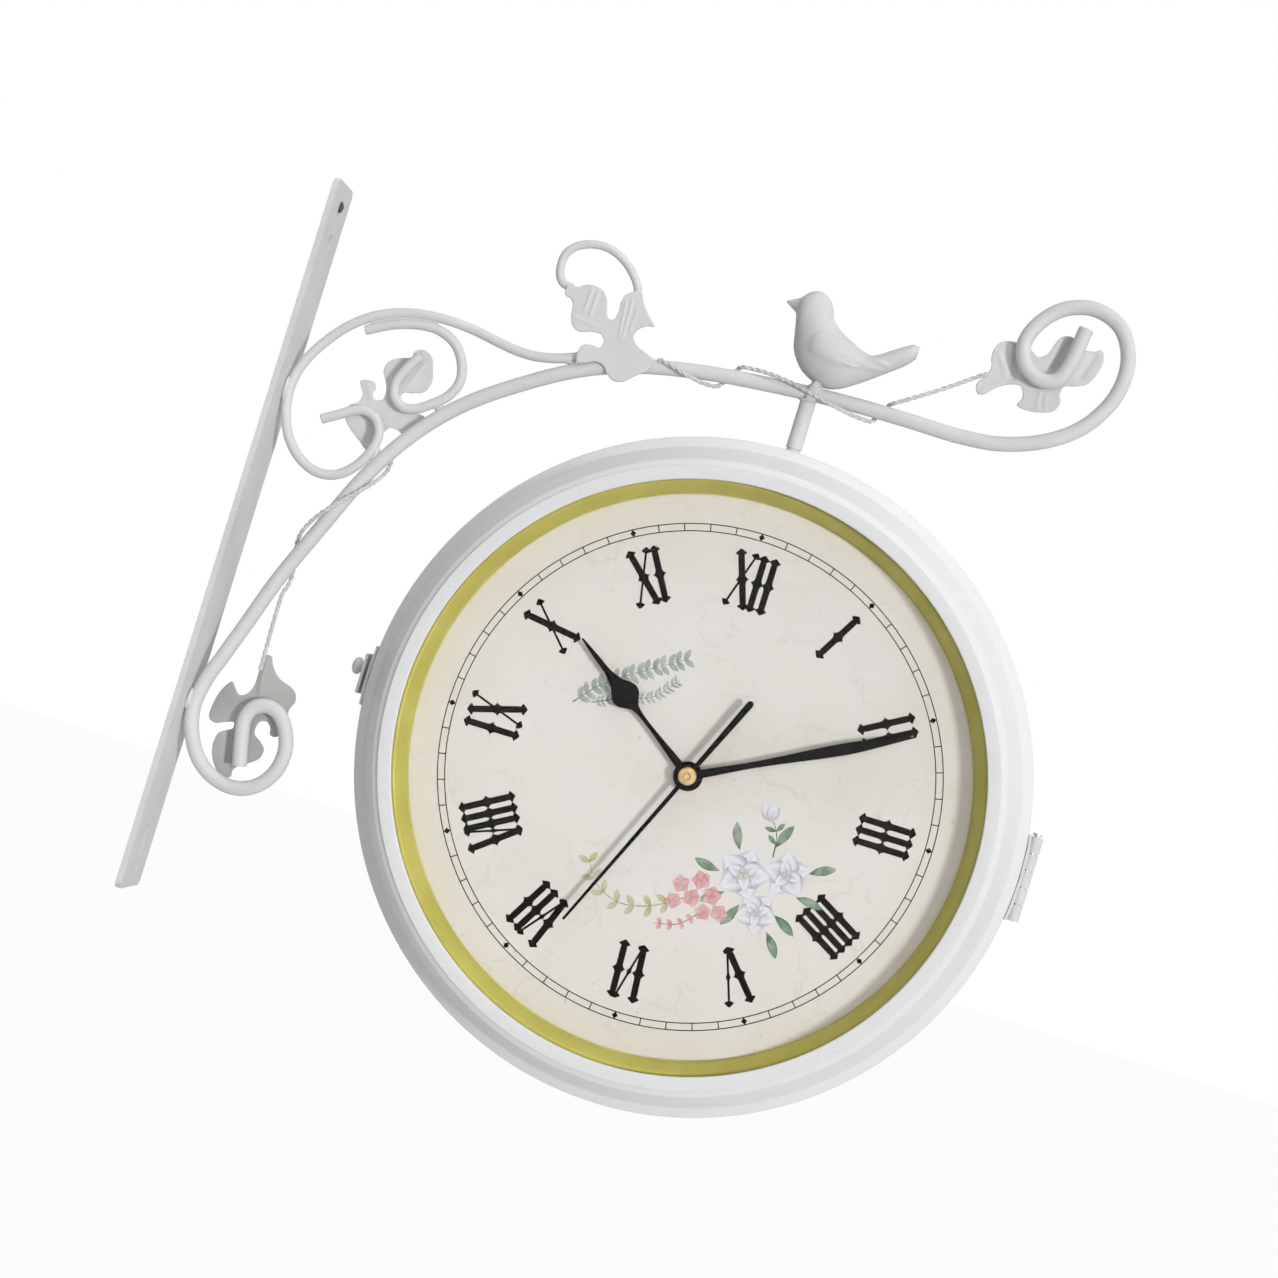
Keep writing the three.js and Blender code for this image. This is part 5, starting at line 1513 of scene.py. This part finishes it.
@dataclass
class CaseShells:
    """The two pressed halves of the round case."""

    lip_inner: float = 113.0
    lip_outer: float = 118.3
    shoulder: float = 121.3
    shoulder_depth: float = 43.4
    lip_step: float = 0.9
    cone_foot: float = 127.5
    cone_foot_depth: float = 25.0
    radius: float = 132.0
    band_depth: float = 21.5
    half_depth: float = 46.0
    seam_depth: float = 12.0
    wall: float = 1.2
    spigot_gap: float = 0.6
    spigot_wall: float = 1.3
    spigot_length: float = 4.0
    spigot_root: float = 5.0
    spigot_flare: float = 2.0

    def shell(self, edge: float, spigot: bool) -> Surface:
        """One half: the rim's section, rounded at its bends, turned about the axis.

        Args:
            edge: Depth of the half's open edge.
            spigot: Whether a stepped lip reaches into the other half.

        Returns:
            The shell in across, up and out.
        """
        wall, radius = self.wall, self.radius
        outer = [
            (self.lip_inner, self.half_depth, 0.6), (self.lip_outer, self.half_depth, 0.35),
            (self.lip_outer + 0.25, self.half_depth - self.lip_step, 0.2),
            (self.shoulder - 0.5, self.shoulder_depth + 0.35, 0.5),
            (self.shoulder, self.shoulder_depth - 0.8, 0.5), (self.cone_foot, self.cone_foot_depth, 1.2),
            (radius, self.band_depth, 0.9), (radius, edge, 0.35)]
        inner = [
            (radius - wall, self.band_depth + 0.5, 1.2),
            (self.cone_foot - wall, self.cone_foot_depth - 0.3, 2.0),
            (self.shoulder - wall, self.shoulder_depth - 0.5, 1.2),
            (self.lip_outer - 0.6, self.half_depth - wall, 0.8),
            (self.lip_inner, self.half_depth - wall, 0.3)]
        if spigot:
            reach, tip = radius - wall - self.spigot_gap, edge - self.spigot_length
            bore, root = reach - self.spigot_wall, edge + self.spigot_root
            step = [
                (reach, edge, 0.2), (reach, tip, 0.3), (bore, tip, 0.3), (bore, root, 0.4),
                (radius - wall, root + self.spigot_flare, 0.4)]
        else:
            step = [(radius - wall, edge, 0.2)]
        return turned_ring(softened(outer + step + inner), 224)

    def build(self, bench: Bench) -> None:
        """Makes both halves."""
        front = Side.FRONT.place(self.shell(self.seam_depth + SEAT_GAP, False))
        bench.add("front_shell_pressed", front, CASE_LACQUER, stands_for=["front_shell"])
        rear = Side.REAR.place(self.shell(-self.seam_depth, True))
        bench.add("rear_shell_pressed", rear, CASE_LACQUER, stands_for=["rear_shell"])


@dataclass
class CaseFittings:
    """Hinge and latch on the band."""

    rounding: float = 0.3
    pin_rounding: float = 0.2

    def build(self, bench: Bench) -> None:
        """Rounds the edges of each fitting; paints the leaves, leaves the pins bare."""
        for node in ("hinge_leaf_front", "hinge_leaf_rear", "latch_base", "latch_hasp", "latch_keeper"):
            bench.eased(node, FRAME_PAINT, self.rounding)
        for node in ("hinge_pin", "latch_pin"):
            bench.eased(node, BOLT_STEEL, self.pin_rounding)


# ---- dial print


@dataclass(frozen=True)
class Stroke:
    """One stroke of a numeral: where its top and foot stand, and if it is broad."""

    top: float
    foot: float
    broad: bool = True


NUMERALS: dict[int, tuple[Stroke, ...]] = {
    1: (Stroke(0, 0),),
    2: (Stroke(-2.75, -2.75), Stroke(2.75, 2.75)),
    3: (Stroke(-4.4, -4.4), Stroke(0, 0), Stroke(4.4, 4.4)),
    4: (Stroke(-5.6, -5.6), Stroke(-1.9, -1.9), Stroke(1.9, 1.9), Stroke(5.6, 5.6)),
    5: (Stroke(-4.5, 0), Stroke(4.4, 0, False)),
    6: (Stroke(-5.0, -3.1), Stroke(2.5, -3.1, False), Stroke(3.4, 4.4)),
    7: (Stroke(-6.7, -3.1), Stroke(0.5, -3.1, False), Stroke(2.0, 2.0), Stroke(6.5, 6.5)),
    8: (Stroke(-9.0, -5.7), Stroke(-2.0, -5.7, False), Stroke(-1.0, -1.0), Stroke(3.0, 3.0),
        Stroke(7.4, 7.4)),
    9: (Stroke(-4.9, -4.9), Stroke(-0.6, 6.0), Stroke(6.5, -1.2, False)),
    10: (Stroke(-4.0, 5.2), Stroke(3.9, -3.1, False)),
    11: (Stroke(-3.4, 3.7), Stroke(3.9, -4.0, False), Stroke(6.5, 6.5)),
    12: (Stroke(-6.3, 1.3), Stroke(0.6, -6.6, False), Stroke(3.5, 3.5), Stroke(7.8, 7.8)),
}


class Ink(Enum):
    """Tones of the printed spray, as screen colours for the deep and pale ends."""

    LILAC = ((150, 154, 176), (236, 236, 241))
    BLUSH = ((188, 104, 112), (226, 178, 178))
    DEEP_LEAF = ((52, 84, 66), (122, 150, 118))
    GREY_LEAF = ((108, 130, 120), (172, 186, 176))
    OLIVE = ((164, 154, 104), (206, 198, 160))
    POLLEN = ((176, 160, 84), (222, 206, 140))


@dataclass
class DialPrint:
    """What is printed on a dial: numerals, minute track and a generic spray."""

    face_depth: float = 33.0
    layer: float = 0.02
    foot_radius: float = 66.7
    top_radius: float = 89.4
    broad: float = 2.55
    narrow: float = 0.85
    flare: float = 2.3
    track_inner: float = 94.2
    track_outer: float = 97.0
    track_line: float = 0.38
    tick: float = 0.2
    diamond: float = 1.3

    def stroke(self, mark: Stroke, lift: float) -> Surface:
        """A numeral's stroke standing upright: a strip whose half width runs from a
        point to a barb, a notch, the plain shaft, a spur at mid height, and back.

        Args:
            mark: The stroke.
            lift: Its height over the first stroke, so that crossed ones don't share a plane.

        Returns:
            The strip.
        """
        foot, top = np.array([mark.foot, self.foot_radius]), np.array([mark.top, self.top_radius])
        length = float(np.linalg.norm(top - foot))
        half = (self.broad if mark.broad else self.narrow) / 2
        barb = self.flare if mark.broad else self.flare * 0.8
        spur = half + (1.35 if mark.broad else 0.6)
        ends = np.array([0.0, 0.5, 1.7, 2.0, 2.6, 3.2])
        widths = np.array([0.05, 0.75, barb, barb * 0.9, half * 0.85, half])
        spurs = np.array([-1.5, -0.5, 0.0, 0.5, 1.5]) + length / 2
        swell = np.array([half, half + (spur - half) * 0.45, spur, half + (spur - half) * 0.45, half])
        run = np.concatenate([ends, spurs, length - ends[::-1]])
        size = np.concatenate([widths, swell, widths[::-1]])
        line = foot + (top - foot) * (run / length)[:, None]
        low = self.face_depth + self.layer
        return ribbon(line, size, low, low + self.layer + lift, samples=2)

    def numerals(self) -> Surface:
        """All twelve numerals, each turned to its hour with its foot to the middle."""
        parts = []
        for hour, strokes in NUMERALS.items():
            group = together([self.stroke(mark, 0.004 * k) for k, mark in enumerate(strokes)])
            parts.append(repeated(group, np.array([hour * math.pi / 6]), np.zeros((1, 3))))
        return together(parts)

    def track(self) -> Surface:
        """Two thin rings, a tick for each minute, and a diamond at every fifth."""
        low = self.face_depth + self.layer
        high, half = low + self.layer, self.track_line / 2
        rings = [
            turned_ring(np.array([(r - half, low), (r + half, low), (r + half, high), (r - half, high)]), 240)
            for r in (self.track_inner, self.track_outer)]
        middle = (self.track_inner + self.track_outer) / 2
        tick_line = np.array([[0.0, self.track_inner], [0.0, middle], [0.0, self.track_outer]])
        tick = ribbon(tick_line, np.full(3, self.tick), low, high + 0.004, samples=2)
        minutes = np.arange(60)
        plain = minutes[minutes % 5 != 0] * math.pi / 30
        ticks = repeated(tick, plain, np.zeros((len(plain), 3)))
        spots = np.array([-1, -0.4, 0, 0.4, 1]) * self.diamond + middle
        line = np.stack([0 * spots, spots], axis=-1)
        lozenge = ribbon(line, np.array([0.06, 0.72, 1.15, 0.72, 0.06]), low, high + 0.008, samples=2)
        fives = np.arange(12) * math.pi / 6
        return together([*rings, ticks, repeated(lozenge, fives, np.zeros((12, 3)))])

    def petal(
            self, ink: Ink, length: float, width: float, point: float, curl: float = 0.0,
            streaks: float = 0.0) -> Surface:
        """A petal or leaf lying upright from the middle: its half width follows the
        sine of its length to a power, and its tone goes from deep at its foot and
        edges to pale in between, with streaks along it.

        Args:
            ink: Its tones.
            length: Its length.
            width: Its greatest width.
            point: Below one the widest place is past the middle; above, before it.
            curl: Sideways bend of its middle line.
            streaks: How strongly streaks show along it.

        Returns:
            The petal with its wash colours.
        """
        t = np.linspace(0.0, 1.0, 11)
        half = width / 2 * np.sin(math.pi * np.clip(t, 0.015, 0.985) ** point) ** 0.8
        line = np.stack([curl * t**2, length * t], axis=-1)
        shape = ribbon(line, half, 0.0, self.layer, samples=5)
        across = np.concatenate([np.linspace(-1, 1, 5), [1.0, -1.0]])
        tone = 1 - 0.75 * (1 - t[:, None]) ** 2 - 0.45 * np.abs(across[None, :]) ** 3
        tone = tone - streaks * np.cos(across[None, :] * 6.0) * (1 - t[:, None])
        values = np.concatenate([tone.ravel(), [tone[0].mean(), tone[-1].mean()]])
        deep, pale = (np.array(linear(*end)) for end in ink.value)
        shape.wash = deep + (pale - deep) * np.clip(values, 0, 1)[:, None]
        return shape

    def laid(self, shape: Surface, spots: Array, lift: float) -> Surface:
        """Copies of a shape on the dial, every copy a hair above the one before.

        Args:
            shape: The shape, upright.
            spots: Across, up and clockwise turn of each copy.
            lift: Height of the first over the paper.

        Returns:
            All the copies.
        """
        rise = self.face_depth + self.layer + lift + 0.0015 * np.arange(len(spots))
        return repeated(shape, spots[:, 2], np.column_stack([spots[:, :2], rise]))

    def blossom(
            self, ink: Ink, middle: tuple[float, float], size: float, turn: float,
            lift: float) -> list[Surface]:
        """An open flower: five broad petals, three short inner ones, and pollen dots.

        Args:
            ink: Tones of its petals.
            middle: Across and up of its middle.
            size: Length of a broad petal.
            turn: Clockwise turn of the flower.
            lift: Height over the paper.

        Returns:
            The petals and dots.
        """
        around = turn + np.array([0.0, 2.0, 4.0, 1.0, 3.0]) * 2 * math.pi / 5
        outer = np.column_stack([np.full(5, middle[0]), np.full(5, middle[1]), around])
        within = turn + 0.5 + np.arange(3) * 2.1
        inner = np.column_stack([np.full(3, middle[0]), np.full(3, middle[1]), within])
        dots = turn + np.arange(6) * math.pi / 3
        ring = np.column_stack([
            middle[0] + 0.13 * size * np.sin(dots), middle[1] + 0.13 * size * np.cos(dots), dots])
        return [
            self.laid(self.petal(ink, size, size * 1.05, 0.68, size * 0.06, 0.4), outer, lift),
            self.laid(self.petal(ink, size * 0.62, size * 0.56, 0.8, 0.8, 0.5), inner, lift + 0.012),
            self.laid(self.petal(Ink.POLLEN, size * 0.13, size * 0.1, 1.0), ring, lift + 0.02)]

    def vine(
            self, ink: Ink, knots: Sequence[tuple[float, float]], leaf: Surface, spacing: float,
            lift: float) -> list[Surface]:
        """A thin curved stem with leaves on both sides in turn.

        Args:
            ink: Tones of the stem.
            knots: The stem's route.
            leaf: One leaf, upright.
            spacing: Distance between pairs of leaves.
            lift: Height over the paper.

        Returns:
            The stem and its leaves.
        """
        line = smooth_line(np.array(knots, dtype=float), per_span=10)
        run = distances(line)
        stem = ribbon(line, 0.28 - 0.18 * run / run[-1], 0.0, self.layer, samples=2)
        deep = np.array(linear(*ink.value[0]))
        stem.wash = np.tile(deep, (len(stem.points), 1))
        places = np.arange(spacing, run[-1], spacing)
        points = at_distances(line, places)
        slope = np.gradient(line, axis=0)
        heading = np.interp(places, run, np.unwrap(np.arctan2(slope[:, 0], slope[:, 1])))
        swing = np.where(np.arange(len(places)) % 2 == 0, 0.85, 1.05)
        spots = np.concatenate([
            np.column_stack([points, heading + swing]), np.column_stack([points, heading - swing])])
        base = np.array([[0.0, 0.0, 0.0]])
        return [self.laid(stem, base, lift), self.laid(leaf, spots, lift + 0.003)]

    def spray(self) -> Surface:
        """The generic spray: pale open flowers low on the right with dark leaves, a
        bunch of small pink ones, an olive tendril, and a grey branch high on the left."""
        parts: list[Surface] = []
        dark = self.petal(Ink.DEEP_LEAF, 10.5, 3.6, 1.15, 1.2, 0.25)
        around = np.array([
            (27, -21, -0.5), (22, -31, -1.5), (33, -41, 3.5), (46, -48, 2.4), (53, -32, 1.6), (55, -22, 1.0),
            (40, -16, 0.3), (47, -41, 2.0), (26, -38, -2.3)])
        parts.append(self.laid(dark, around, 0.0))
        twig = self.petal(Ink.DEEP_LEAF, 4.6, 1.9, 1.1)
        parts += self.vine(Ink.DEEP_LEAF, [(40, -20), (39, -12), (35, -5)], twig, 5.0, 0.004)
        bud = self.petal(Ink.LILAC, 7.5, 5.0, 0.85, 0.5, 0.25)
        parts.append(self.laid(bud, np.array([(35, -7, -0.6), (35.4, -7.2, -0.15)]), 0.02))
        parts += self.blossom(Ink.LILAC, (40, -42), 8.2, 0.4, 0.02)
        parts += self.blossom(Ink.LILAC, (47, -25), 9.0, 1.0, 0.05)
        parts += self.blossom(Ink.LILAC, (31, -29.5), 10.0, 0.1, 0.08)
        small = [(22, -41), (16.5, -36.5), (15, -44), (9.5, -40), (26.5, -46.5), (20.5, -48), (8.5, -47)]
        for k, spot in enumerate(small):
            parts += self.blossom(Ink.BLUSH, spot, 3.9 - 0.12 * k, 0.7 * k, 0.01 + 0.025 * k)
        olive = self.petal(Ink.OLIVE, 5.0, 2.3, 1.0, 0.4)
        tendril = [(12, -45), (0, -52), (-12, -54), (-22, -49.5), (-27, -42)]
        parts += self.vine(Ink.OLIVE, tendril, olive, 6.5, 0.002)
        seed = self.petal(Ink.BLUSH, 2.6, 1.6, 1.0)
        parts += self.vine(Ink.BLUSH, [(20, -48), (13, -55), (4, -57.5)], seed, 4.2, 0.004)
        grey = self.petal(Ink.GREY_LEAF, 4.6, 2.1, 0.9, 0.3, 0.3)
        parts += self.vine(Ink.GREY_LEAF, [(-51, 14), (-42, 24), (-29, 33), (-13, 43)], grey, 3.1, 0.002)
        fern = self.petal(Ink.GREY_LEAF, 3.0, 0.9, 1.1)
        parts += self.vine(Ink.GREY_LEAF, [(-44, 16), (-33, 21), (-22, 25), (-14, 34)], fern, 1.9, 0.004)
        return together(parts)

    def build(self, bench: Bench, side: Side) -> None:
        """Prints one dial.

        Args:
            bench: The bench.
            side: Which face.
        """
        name = side.value
        bench.add(f"{name}_dial_numerals", side.place(self.numerals()), DIAL_INK, body=side.body)
        bench.add(f"{name}_dial_minute_track", side.place(self.track()), DIAL_INK, body=side.body)
        bench.add(f"{name}_dial_spray", side.place(self.spray()), DIAL_WASH, body=side.body)


# ---- face pieces


@dataclass
class ClockFace:
    """Glass, gold ring, dial, card ring and dial nut of one face."""

    glass_low: float = 42.5
    glass_high: float = 44.5
    pack_radius: float = 114.5
    ring_foot: float = 108.3
    ring_head: float = 113.0
    dial_low: float = 32.0
    dial_high: float = 33.0
    dial_hole: float = 4.3
    board_inner: float = 104.0
    board_outer: float = 122.6
    board_low: float = 30.4
    board_high: float = 31.7
    nut_rounding: float = 0.2

    def build(self, bench: Bench, side: Side) -> None:
        """Makes the pieces of one face.

        Args:
            bench: The bench.
            side: Which face.
        """
        name = side.value
        edge = self.pack_radius
        pane = turned_solid([
            (edge - 0.4, self.glass_low), (edge - 0.1, self.glass_low + 0.3),
            (edge - 0.1, self.glass_high - 0.3), (edge - 0.4, self.glass_high)], 192)
        bench.add(f"{name}_glass_pane", side.place(pane), PANE, stands_for=[f"{name}_glass"])
        low, high = self.dial_high + SEAT_GAP, self.glass_low - SEAT_GAP
        ring = softened([
            (self.ring_foot, low, 0.1), (edge, low, 0.2), (edge, high, 0.2),
            (self.ring_head - 0.4, high, 0.3), (self.ring_head - 1.2, high - 0.6, 0.9),
            (self.ring_foot + 1.5, low + 4.6, 2.4),
            (self.ring_foot + 0.55, low + 2.2, 0.9), (self.ring_foot + 0.6, low + 0.5, 0.2),
            (self.ring_foot, low + 0.5, 0.15)])
        gold = side.place(turned_ring(ring))
        bench.add(f"{name}_trim_ring_gold", gold, GOLD_LACQUER, stands_for=[f"{name}_trim_ring"])
        sheet = softened([
            (self.dial_hole, self.dial_low, 0.1), (edge, self.dial_low, 0.1), (edge, self.dial_high, 0.1),
            (self.dial_hole, self.dial_high, 0.1)])
        paper = side.place(turned_ring(sheet))
        bench.add(f"{name}_dial_paper", paper, DIAL_PAPER, stands_for=[f"{name}_dial"])
        board = softened([
            (self.board_inner, self.board_low, 0.2), (self.board_outer, self.board_low, 0.2),
            (self.board_outer, self.board_high, 0.2), (self.board_inner, self.board_high, 0.2)])
        card = side.place(turned_ring(board))
        bench.add(f"{name}_card_ring", card, BACK_BOARD, stands_for=[f"{name}_retaining_ring"])
        bench.eased(f"{name}_dial_nut", HUB_BRASS, self.nut_rounding)


@dataclass(frozen=True)
class HandShape:
    """One hand: its turn from twelve, its depth, its hub with the tube behind it, how
    far it arches, and its half width at distances from the middle."""

    label: str
    turn: float
    depth: float
    hub: float
    tube: float
    tube_foot: float
    crown: float
    knots: tuple[tuple[float, float], ...]


HAND_SHAPES = (
    HandShape("hour", (10 + 10.5 / 60) / 12, 36.1, 5.7, 2.6, 23.6, 0.12, (
        (-0.9, 1.6), (6, 1.55), (32.6, 1.4), (35.5, 3.6), (37.5, 5.1), (39.8, 5.4), (42, 4.6), (45, 2.7),
        (50, 1.35), (57, 1.0), (66.5, 0.4))),
    HandShape("minute", 10.5 / 60, 37.3, 4.3, 1.5, 23.3, 0.12, (
        (-0.9, 1.8), (8, 1.6), (25, 1.25), (40, 1.65), (52, 2.15), (60, 2.3), (66, 2.15), (74, 1.5),
        (82, 0.8), (88.1, 0.25))),
    HandShape("second", 34 / 60, 38.5, 4.6, 0.6, 23.0, 0.05, (
        (-37.6, 0.35), (-37.2, 0.95), (-36.4, 1.28), (-34, 1.3), (-6, 0.95), (10, 0.85), (40, 0.7),
        (72.3, 0.5))),
)


@dataclass
class Hands:
    """The three hands of one face, at ten past ten, and the cap over their middle."""

    sheet: float = 0.7
    cap_radius: float = 3.52

    def blade(self, hand: HandShape) -> Surface:
        """A blade: smooth half width along its length, arched a little across."""
        line = smooth_line(np.array(hand.knots, dtype=float), per_span=8)
        path = np.stack([0 * line[:, 0], line[:, 0]], axis=-1)
        half = np.clip(line[:, 1], 0.1, None)
        return ribbon(path, half, hand.depth, hand.depth + self.sheet - hand.crown, hand.crown, 5)

    def hub(self, hand: HandShape) -> Surface:
        """A hub with its tube: the round plate's edge is eased, the tube runs back."""
        return turned_solid([
            (hand.tube, hand.tube_foot), (hand.tube, hand.depth), (hand.hub - 0.2, hand.depth),
            (hand.hub, hand.depth + 0.2), (hand.hub, hand.depth + self.sheet - 0.2),
            (hand.hub - 0.25, hand.depth + self.sheet + 0.03)], 48)

    def cap(self, depth: float) -> Surface:
        """The small turned cap over a hand at this depth, dished in its middle."""
        return turned_solid([
            (3.3, depth + 0.5), (self.cap_radius, depth + 0.8), (self.cap_radius, depth + 1.6),
            (3.2, depth + 1.95), (1.4, depth + 2.08), (1.1, depth + 1.75), (0.2, depth + 1.7)], 48)

    def build(self, bench: Bench, side: Side) -> None:
        """Makes the hands of one face, each on its own body.

        Args:
            bench: The bench.
            side: Which face.
        """
        for hand in HAND_SHAPES:
            whole = together([self.blade(hand), self.hub(hand)])
            set_to = repeated(whole, np.array([2 * math.pi * hand.turn]), np.zeros((1, 3)))
            node = f"{side.value}_{hand.label}_hand"
            bench.add(f"{node}_blade", side.place(set_to), HAND_LACQUER, stands_for=[node])
        cap = side.place(self.cap(HAND_SHAPES[-1].depth))
        bench.add(f"{side.value}_hand_cap", cap, HUB_BRASS, body=f"{side.value}_second_hand")


@dataclass
class Movement:
    """The quartz movement behind each dial."""

    rounding: float = 0.6
    battery_rounding: float = 0.5
    knob_rounding: float = 0.4

    def build(self, bench: Bench, side: Side) -> None:
        """Rounds and finishes the case, battery and setting knob.

        Args:
            bench: The bench.
            side: Which face.
        """
        name = side.value
        bench.eased(f"{name}_movement", CLOCK_PLASTIC, self.rounding)
        bench.eased(f"{name}_battery", SLEEVE, self.battery_rounding)
        bench.eased(f"{name}_set_knob", CLOCK_PLASTIC, self.knob_rounding)


# ---- studio


@dataclass(frozen=True)
class Lamp:
    """A far lamp: its strength, its angles off the clock's axis, and its spread."""

    name: str
    strength: float
    off_axis: float
    up: float
    softness: float


def seen_straight(graph: Graph) -> bpy.types.NodeSocket:
    """One for rays from the eye, by gloss or through glass, and nought for all others."""
    path = graph.node("ShaderNodeLightPath")
    seen = graph.sums("MAXIMUM", path.outputs["Is Camera Ray"], path.outputs["Is Glossy Ray"])
    return graph.sums("MAXIMUM", seen, path.outputs["Is Transmission Ray"])


@dataclass
class Studio:
    """Floor, light and the camera at the photograph's viewing angle."""

    camera_at: tuple[float, float, float] = (0.2549, -1.0, -0.0049)
    yaw: float = 4.87
    pitch: float = 0.71
    roll: float = 17.15
    focal_pixels: float = 2525.0
    frame_pixels: float = 1278.0
    sensor: float = 36.0
    ambient: float = 0.36
    lamps: tuple[Lamp, ...] = (
        Lamp("key_light", 1.6, 39.0, 3.0, 9.0), Lamp("side_light", 0.12, 86.0, 2.0, 20.0),
        Lamp("fill_light", 0.62, 8.0, 4.0, 40.0), Lamp("top_light", 1.1, 50.0, 78.0, 30.0))
    under_power: float = 0.5
    under_size: float = 0.6
    under_at: tuple[float, float, float] = (0.36, -0.12, -0.46)
    floor_tone: float = 0.45
    floor_lift: float = 0.63
    floor_height: float = -0.62
    floor_half: float = 6.0

    def place_camera(self) -> None:
        """Aims the camera by yaw, pitch and roll, with the photograph's angle of view."""
        yaw, pitch, roll = (math.radians(v) for v in (self.yaw, self.pitch, self.roll))
        aim = Matrix.Rotation(yaw, 3, "Z") @ Matrix.Rotation(pitch, 3, "X")
        right, ahead, above = aim.col[0], aim.col[1], aim.col[2]
        across = right * math.cos(roll) + above * math.sin(roll)
        up = above * math.cos(roll) - right * math.sin(roll)
        turn = Matrix((across, up, -ahead)).transposed()
        lens = bpy.data.cameras.new("studio_camera")
        lens.sensor_width = self.sensor
        lens.lens = self.sensor * self.focal_pixels / self.frame_pixels
        lens.clip_start, lens.clip_end = 0.01, 50.0
        camera = placed("studio_camera", lens)
        camera.matrix_world = Matrix.Translation(self.camera_at) @ turn.to_4x4()
        bpy.context.scene.camera = camera

    def light_world(self) -> None:
        """A white surround to the eye and to gloss, and an even soft light to all else."""
        world = bpy.data.worlds.new("studio_surround")
        world.use_nodes = True
        world.node_tree.nodes.clear()
        graph = Graph(world.node_tree)
        strength = graph.ranged(seen_straight(graph), 0.0, 1.0, self.ambient, 1.0)
        white = graph.node("ShaderNodeBackground", {"Color": (1.0, 1.0, 1.0, 1.0), "Strength": strength})
        graph.node("ShaderNodeOutputWorld", {"Surface": white.outputs[0]})
        bpy.context.scene.world = world

    def hang(self, lamp: Lamp) -> None:
        """One far, broad lamp, aimed at the clock from its side and height."""
        data = bpy.data.lights.new(lamp.name, "SUN")
        data.energy = lamp.strength
        data.angle = math.radians(lamp.softness)
        light = placed(lamp.name, data)
        off, rise = math.radians(lamp.off_axis), math.radians(lamp.up)
        towards = np.array([math.sin(off) * math.cos(rise), -math.cos(off) * math.cos(rise), math.sin(rise)])
        side = np.cross([0.0, 0.0, 1.0], towards)
        side /= np.linalg.norm(side)
        turn = Matrix((tuple(side), tuple(np.cross(towards, side)), tuple(towards))).transposed()
        light.matrix_world = turn.to_4x4()

    def lay_under_light(self) -> None:
        """A soft panel under the clock that faces up and isn't itself seen."""
        data = bpy.data.lights.new("under_light", "AREA")
        data.energy, data.size = self.under_power, self.under_size
        panel = placed("under_light", data)
        panel.visible_camera = panel.visible_glossy = panel.visible_transmission = False
        panel.matrix_world = Matrix.Translation(self.under_at) @ Matrix.Rotation(math.pi, 4, "X")

    def lay_floor(self) -> None:
        """A pale floor well below, nearly white to the eye where no shadow falls."""
        half, height = self.floor_half, self.floor_height
        mesh = bpy.data.meshes.new("studio_floor")
        corners = [(-half, -half, height), (half, -half, height), (half, half, height), (-half, half, height)]
        mesh.from_pydata(corners, [], [(0, 1, 2, 3)])
        floor = placed("studio_floor", mesh)
        material = bpy.data.materials.new("pale_floor")
        material.use_nodes = True
        material.node_tree.nodes.clear()
        graph = Graph(material.node_tree)
        tone = self.floor_tone
        matt = graph.node("ShaderNodeBsdfDiffuse", {"Color": (tone, tone, tone, 1.0)})
        lift = graph.sums("MULTIPLY", seen_straight(graph), self.floor_lift)
        glow = graph.node("ShaderNodeEmission", {"Color": (1.0, 1.0, 1.0, 1.0), "Strength": lift})
        both = graph.node("ShaderNodeAddShader", {0: matt.outputs[0], 1: glow.outputs[0]})
        graph.node("ShaderNodeOutputMaterial", {"Surface": both.outputs[0]})
        mesh.materials.append(material)

    def build(self) -> None:
        """Sets the whole studio."""
        self.place_camera()
        self.light_world()
        for lamp in self.lamps:
            self.hang(lamp)
        self.lay_under_light()
        self.lay_floor()
        bpy.context.scene.view_settings.view_transform = "Standard"


def corners(box: Sequence[Sequence[float]]) -> list[list[float]]:
    """A box as plain lists of numbers."""
    return [[float(value) for value in corner] for corner in box]


def main() -> None:
    """Loads the frame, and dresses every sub-assembly."""
    logging.basicConfig(level=logging.INFO, format="%(name)s: %(message)s")
    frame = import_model()
    bench = Bench(frame)
    Studio().build()
    rods = BracketRods()
    rods.build(bench)
    StampedLeaves().build(bench)
    VineWires().build(bench, rods.arm_line())
    PerchedBird().build(bench)
    Stem().build(bench)
    CaseShells().build(bench)
    CaseFittings().build(bench)
    for side in Side:
        ClockFace().build(bench, side)
        DialPrint().build(bench, side)
        Hands().build(bench, side)
        Movement().build(bench, side)


if __name__ == "__main__":
    main()
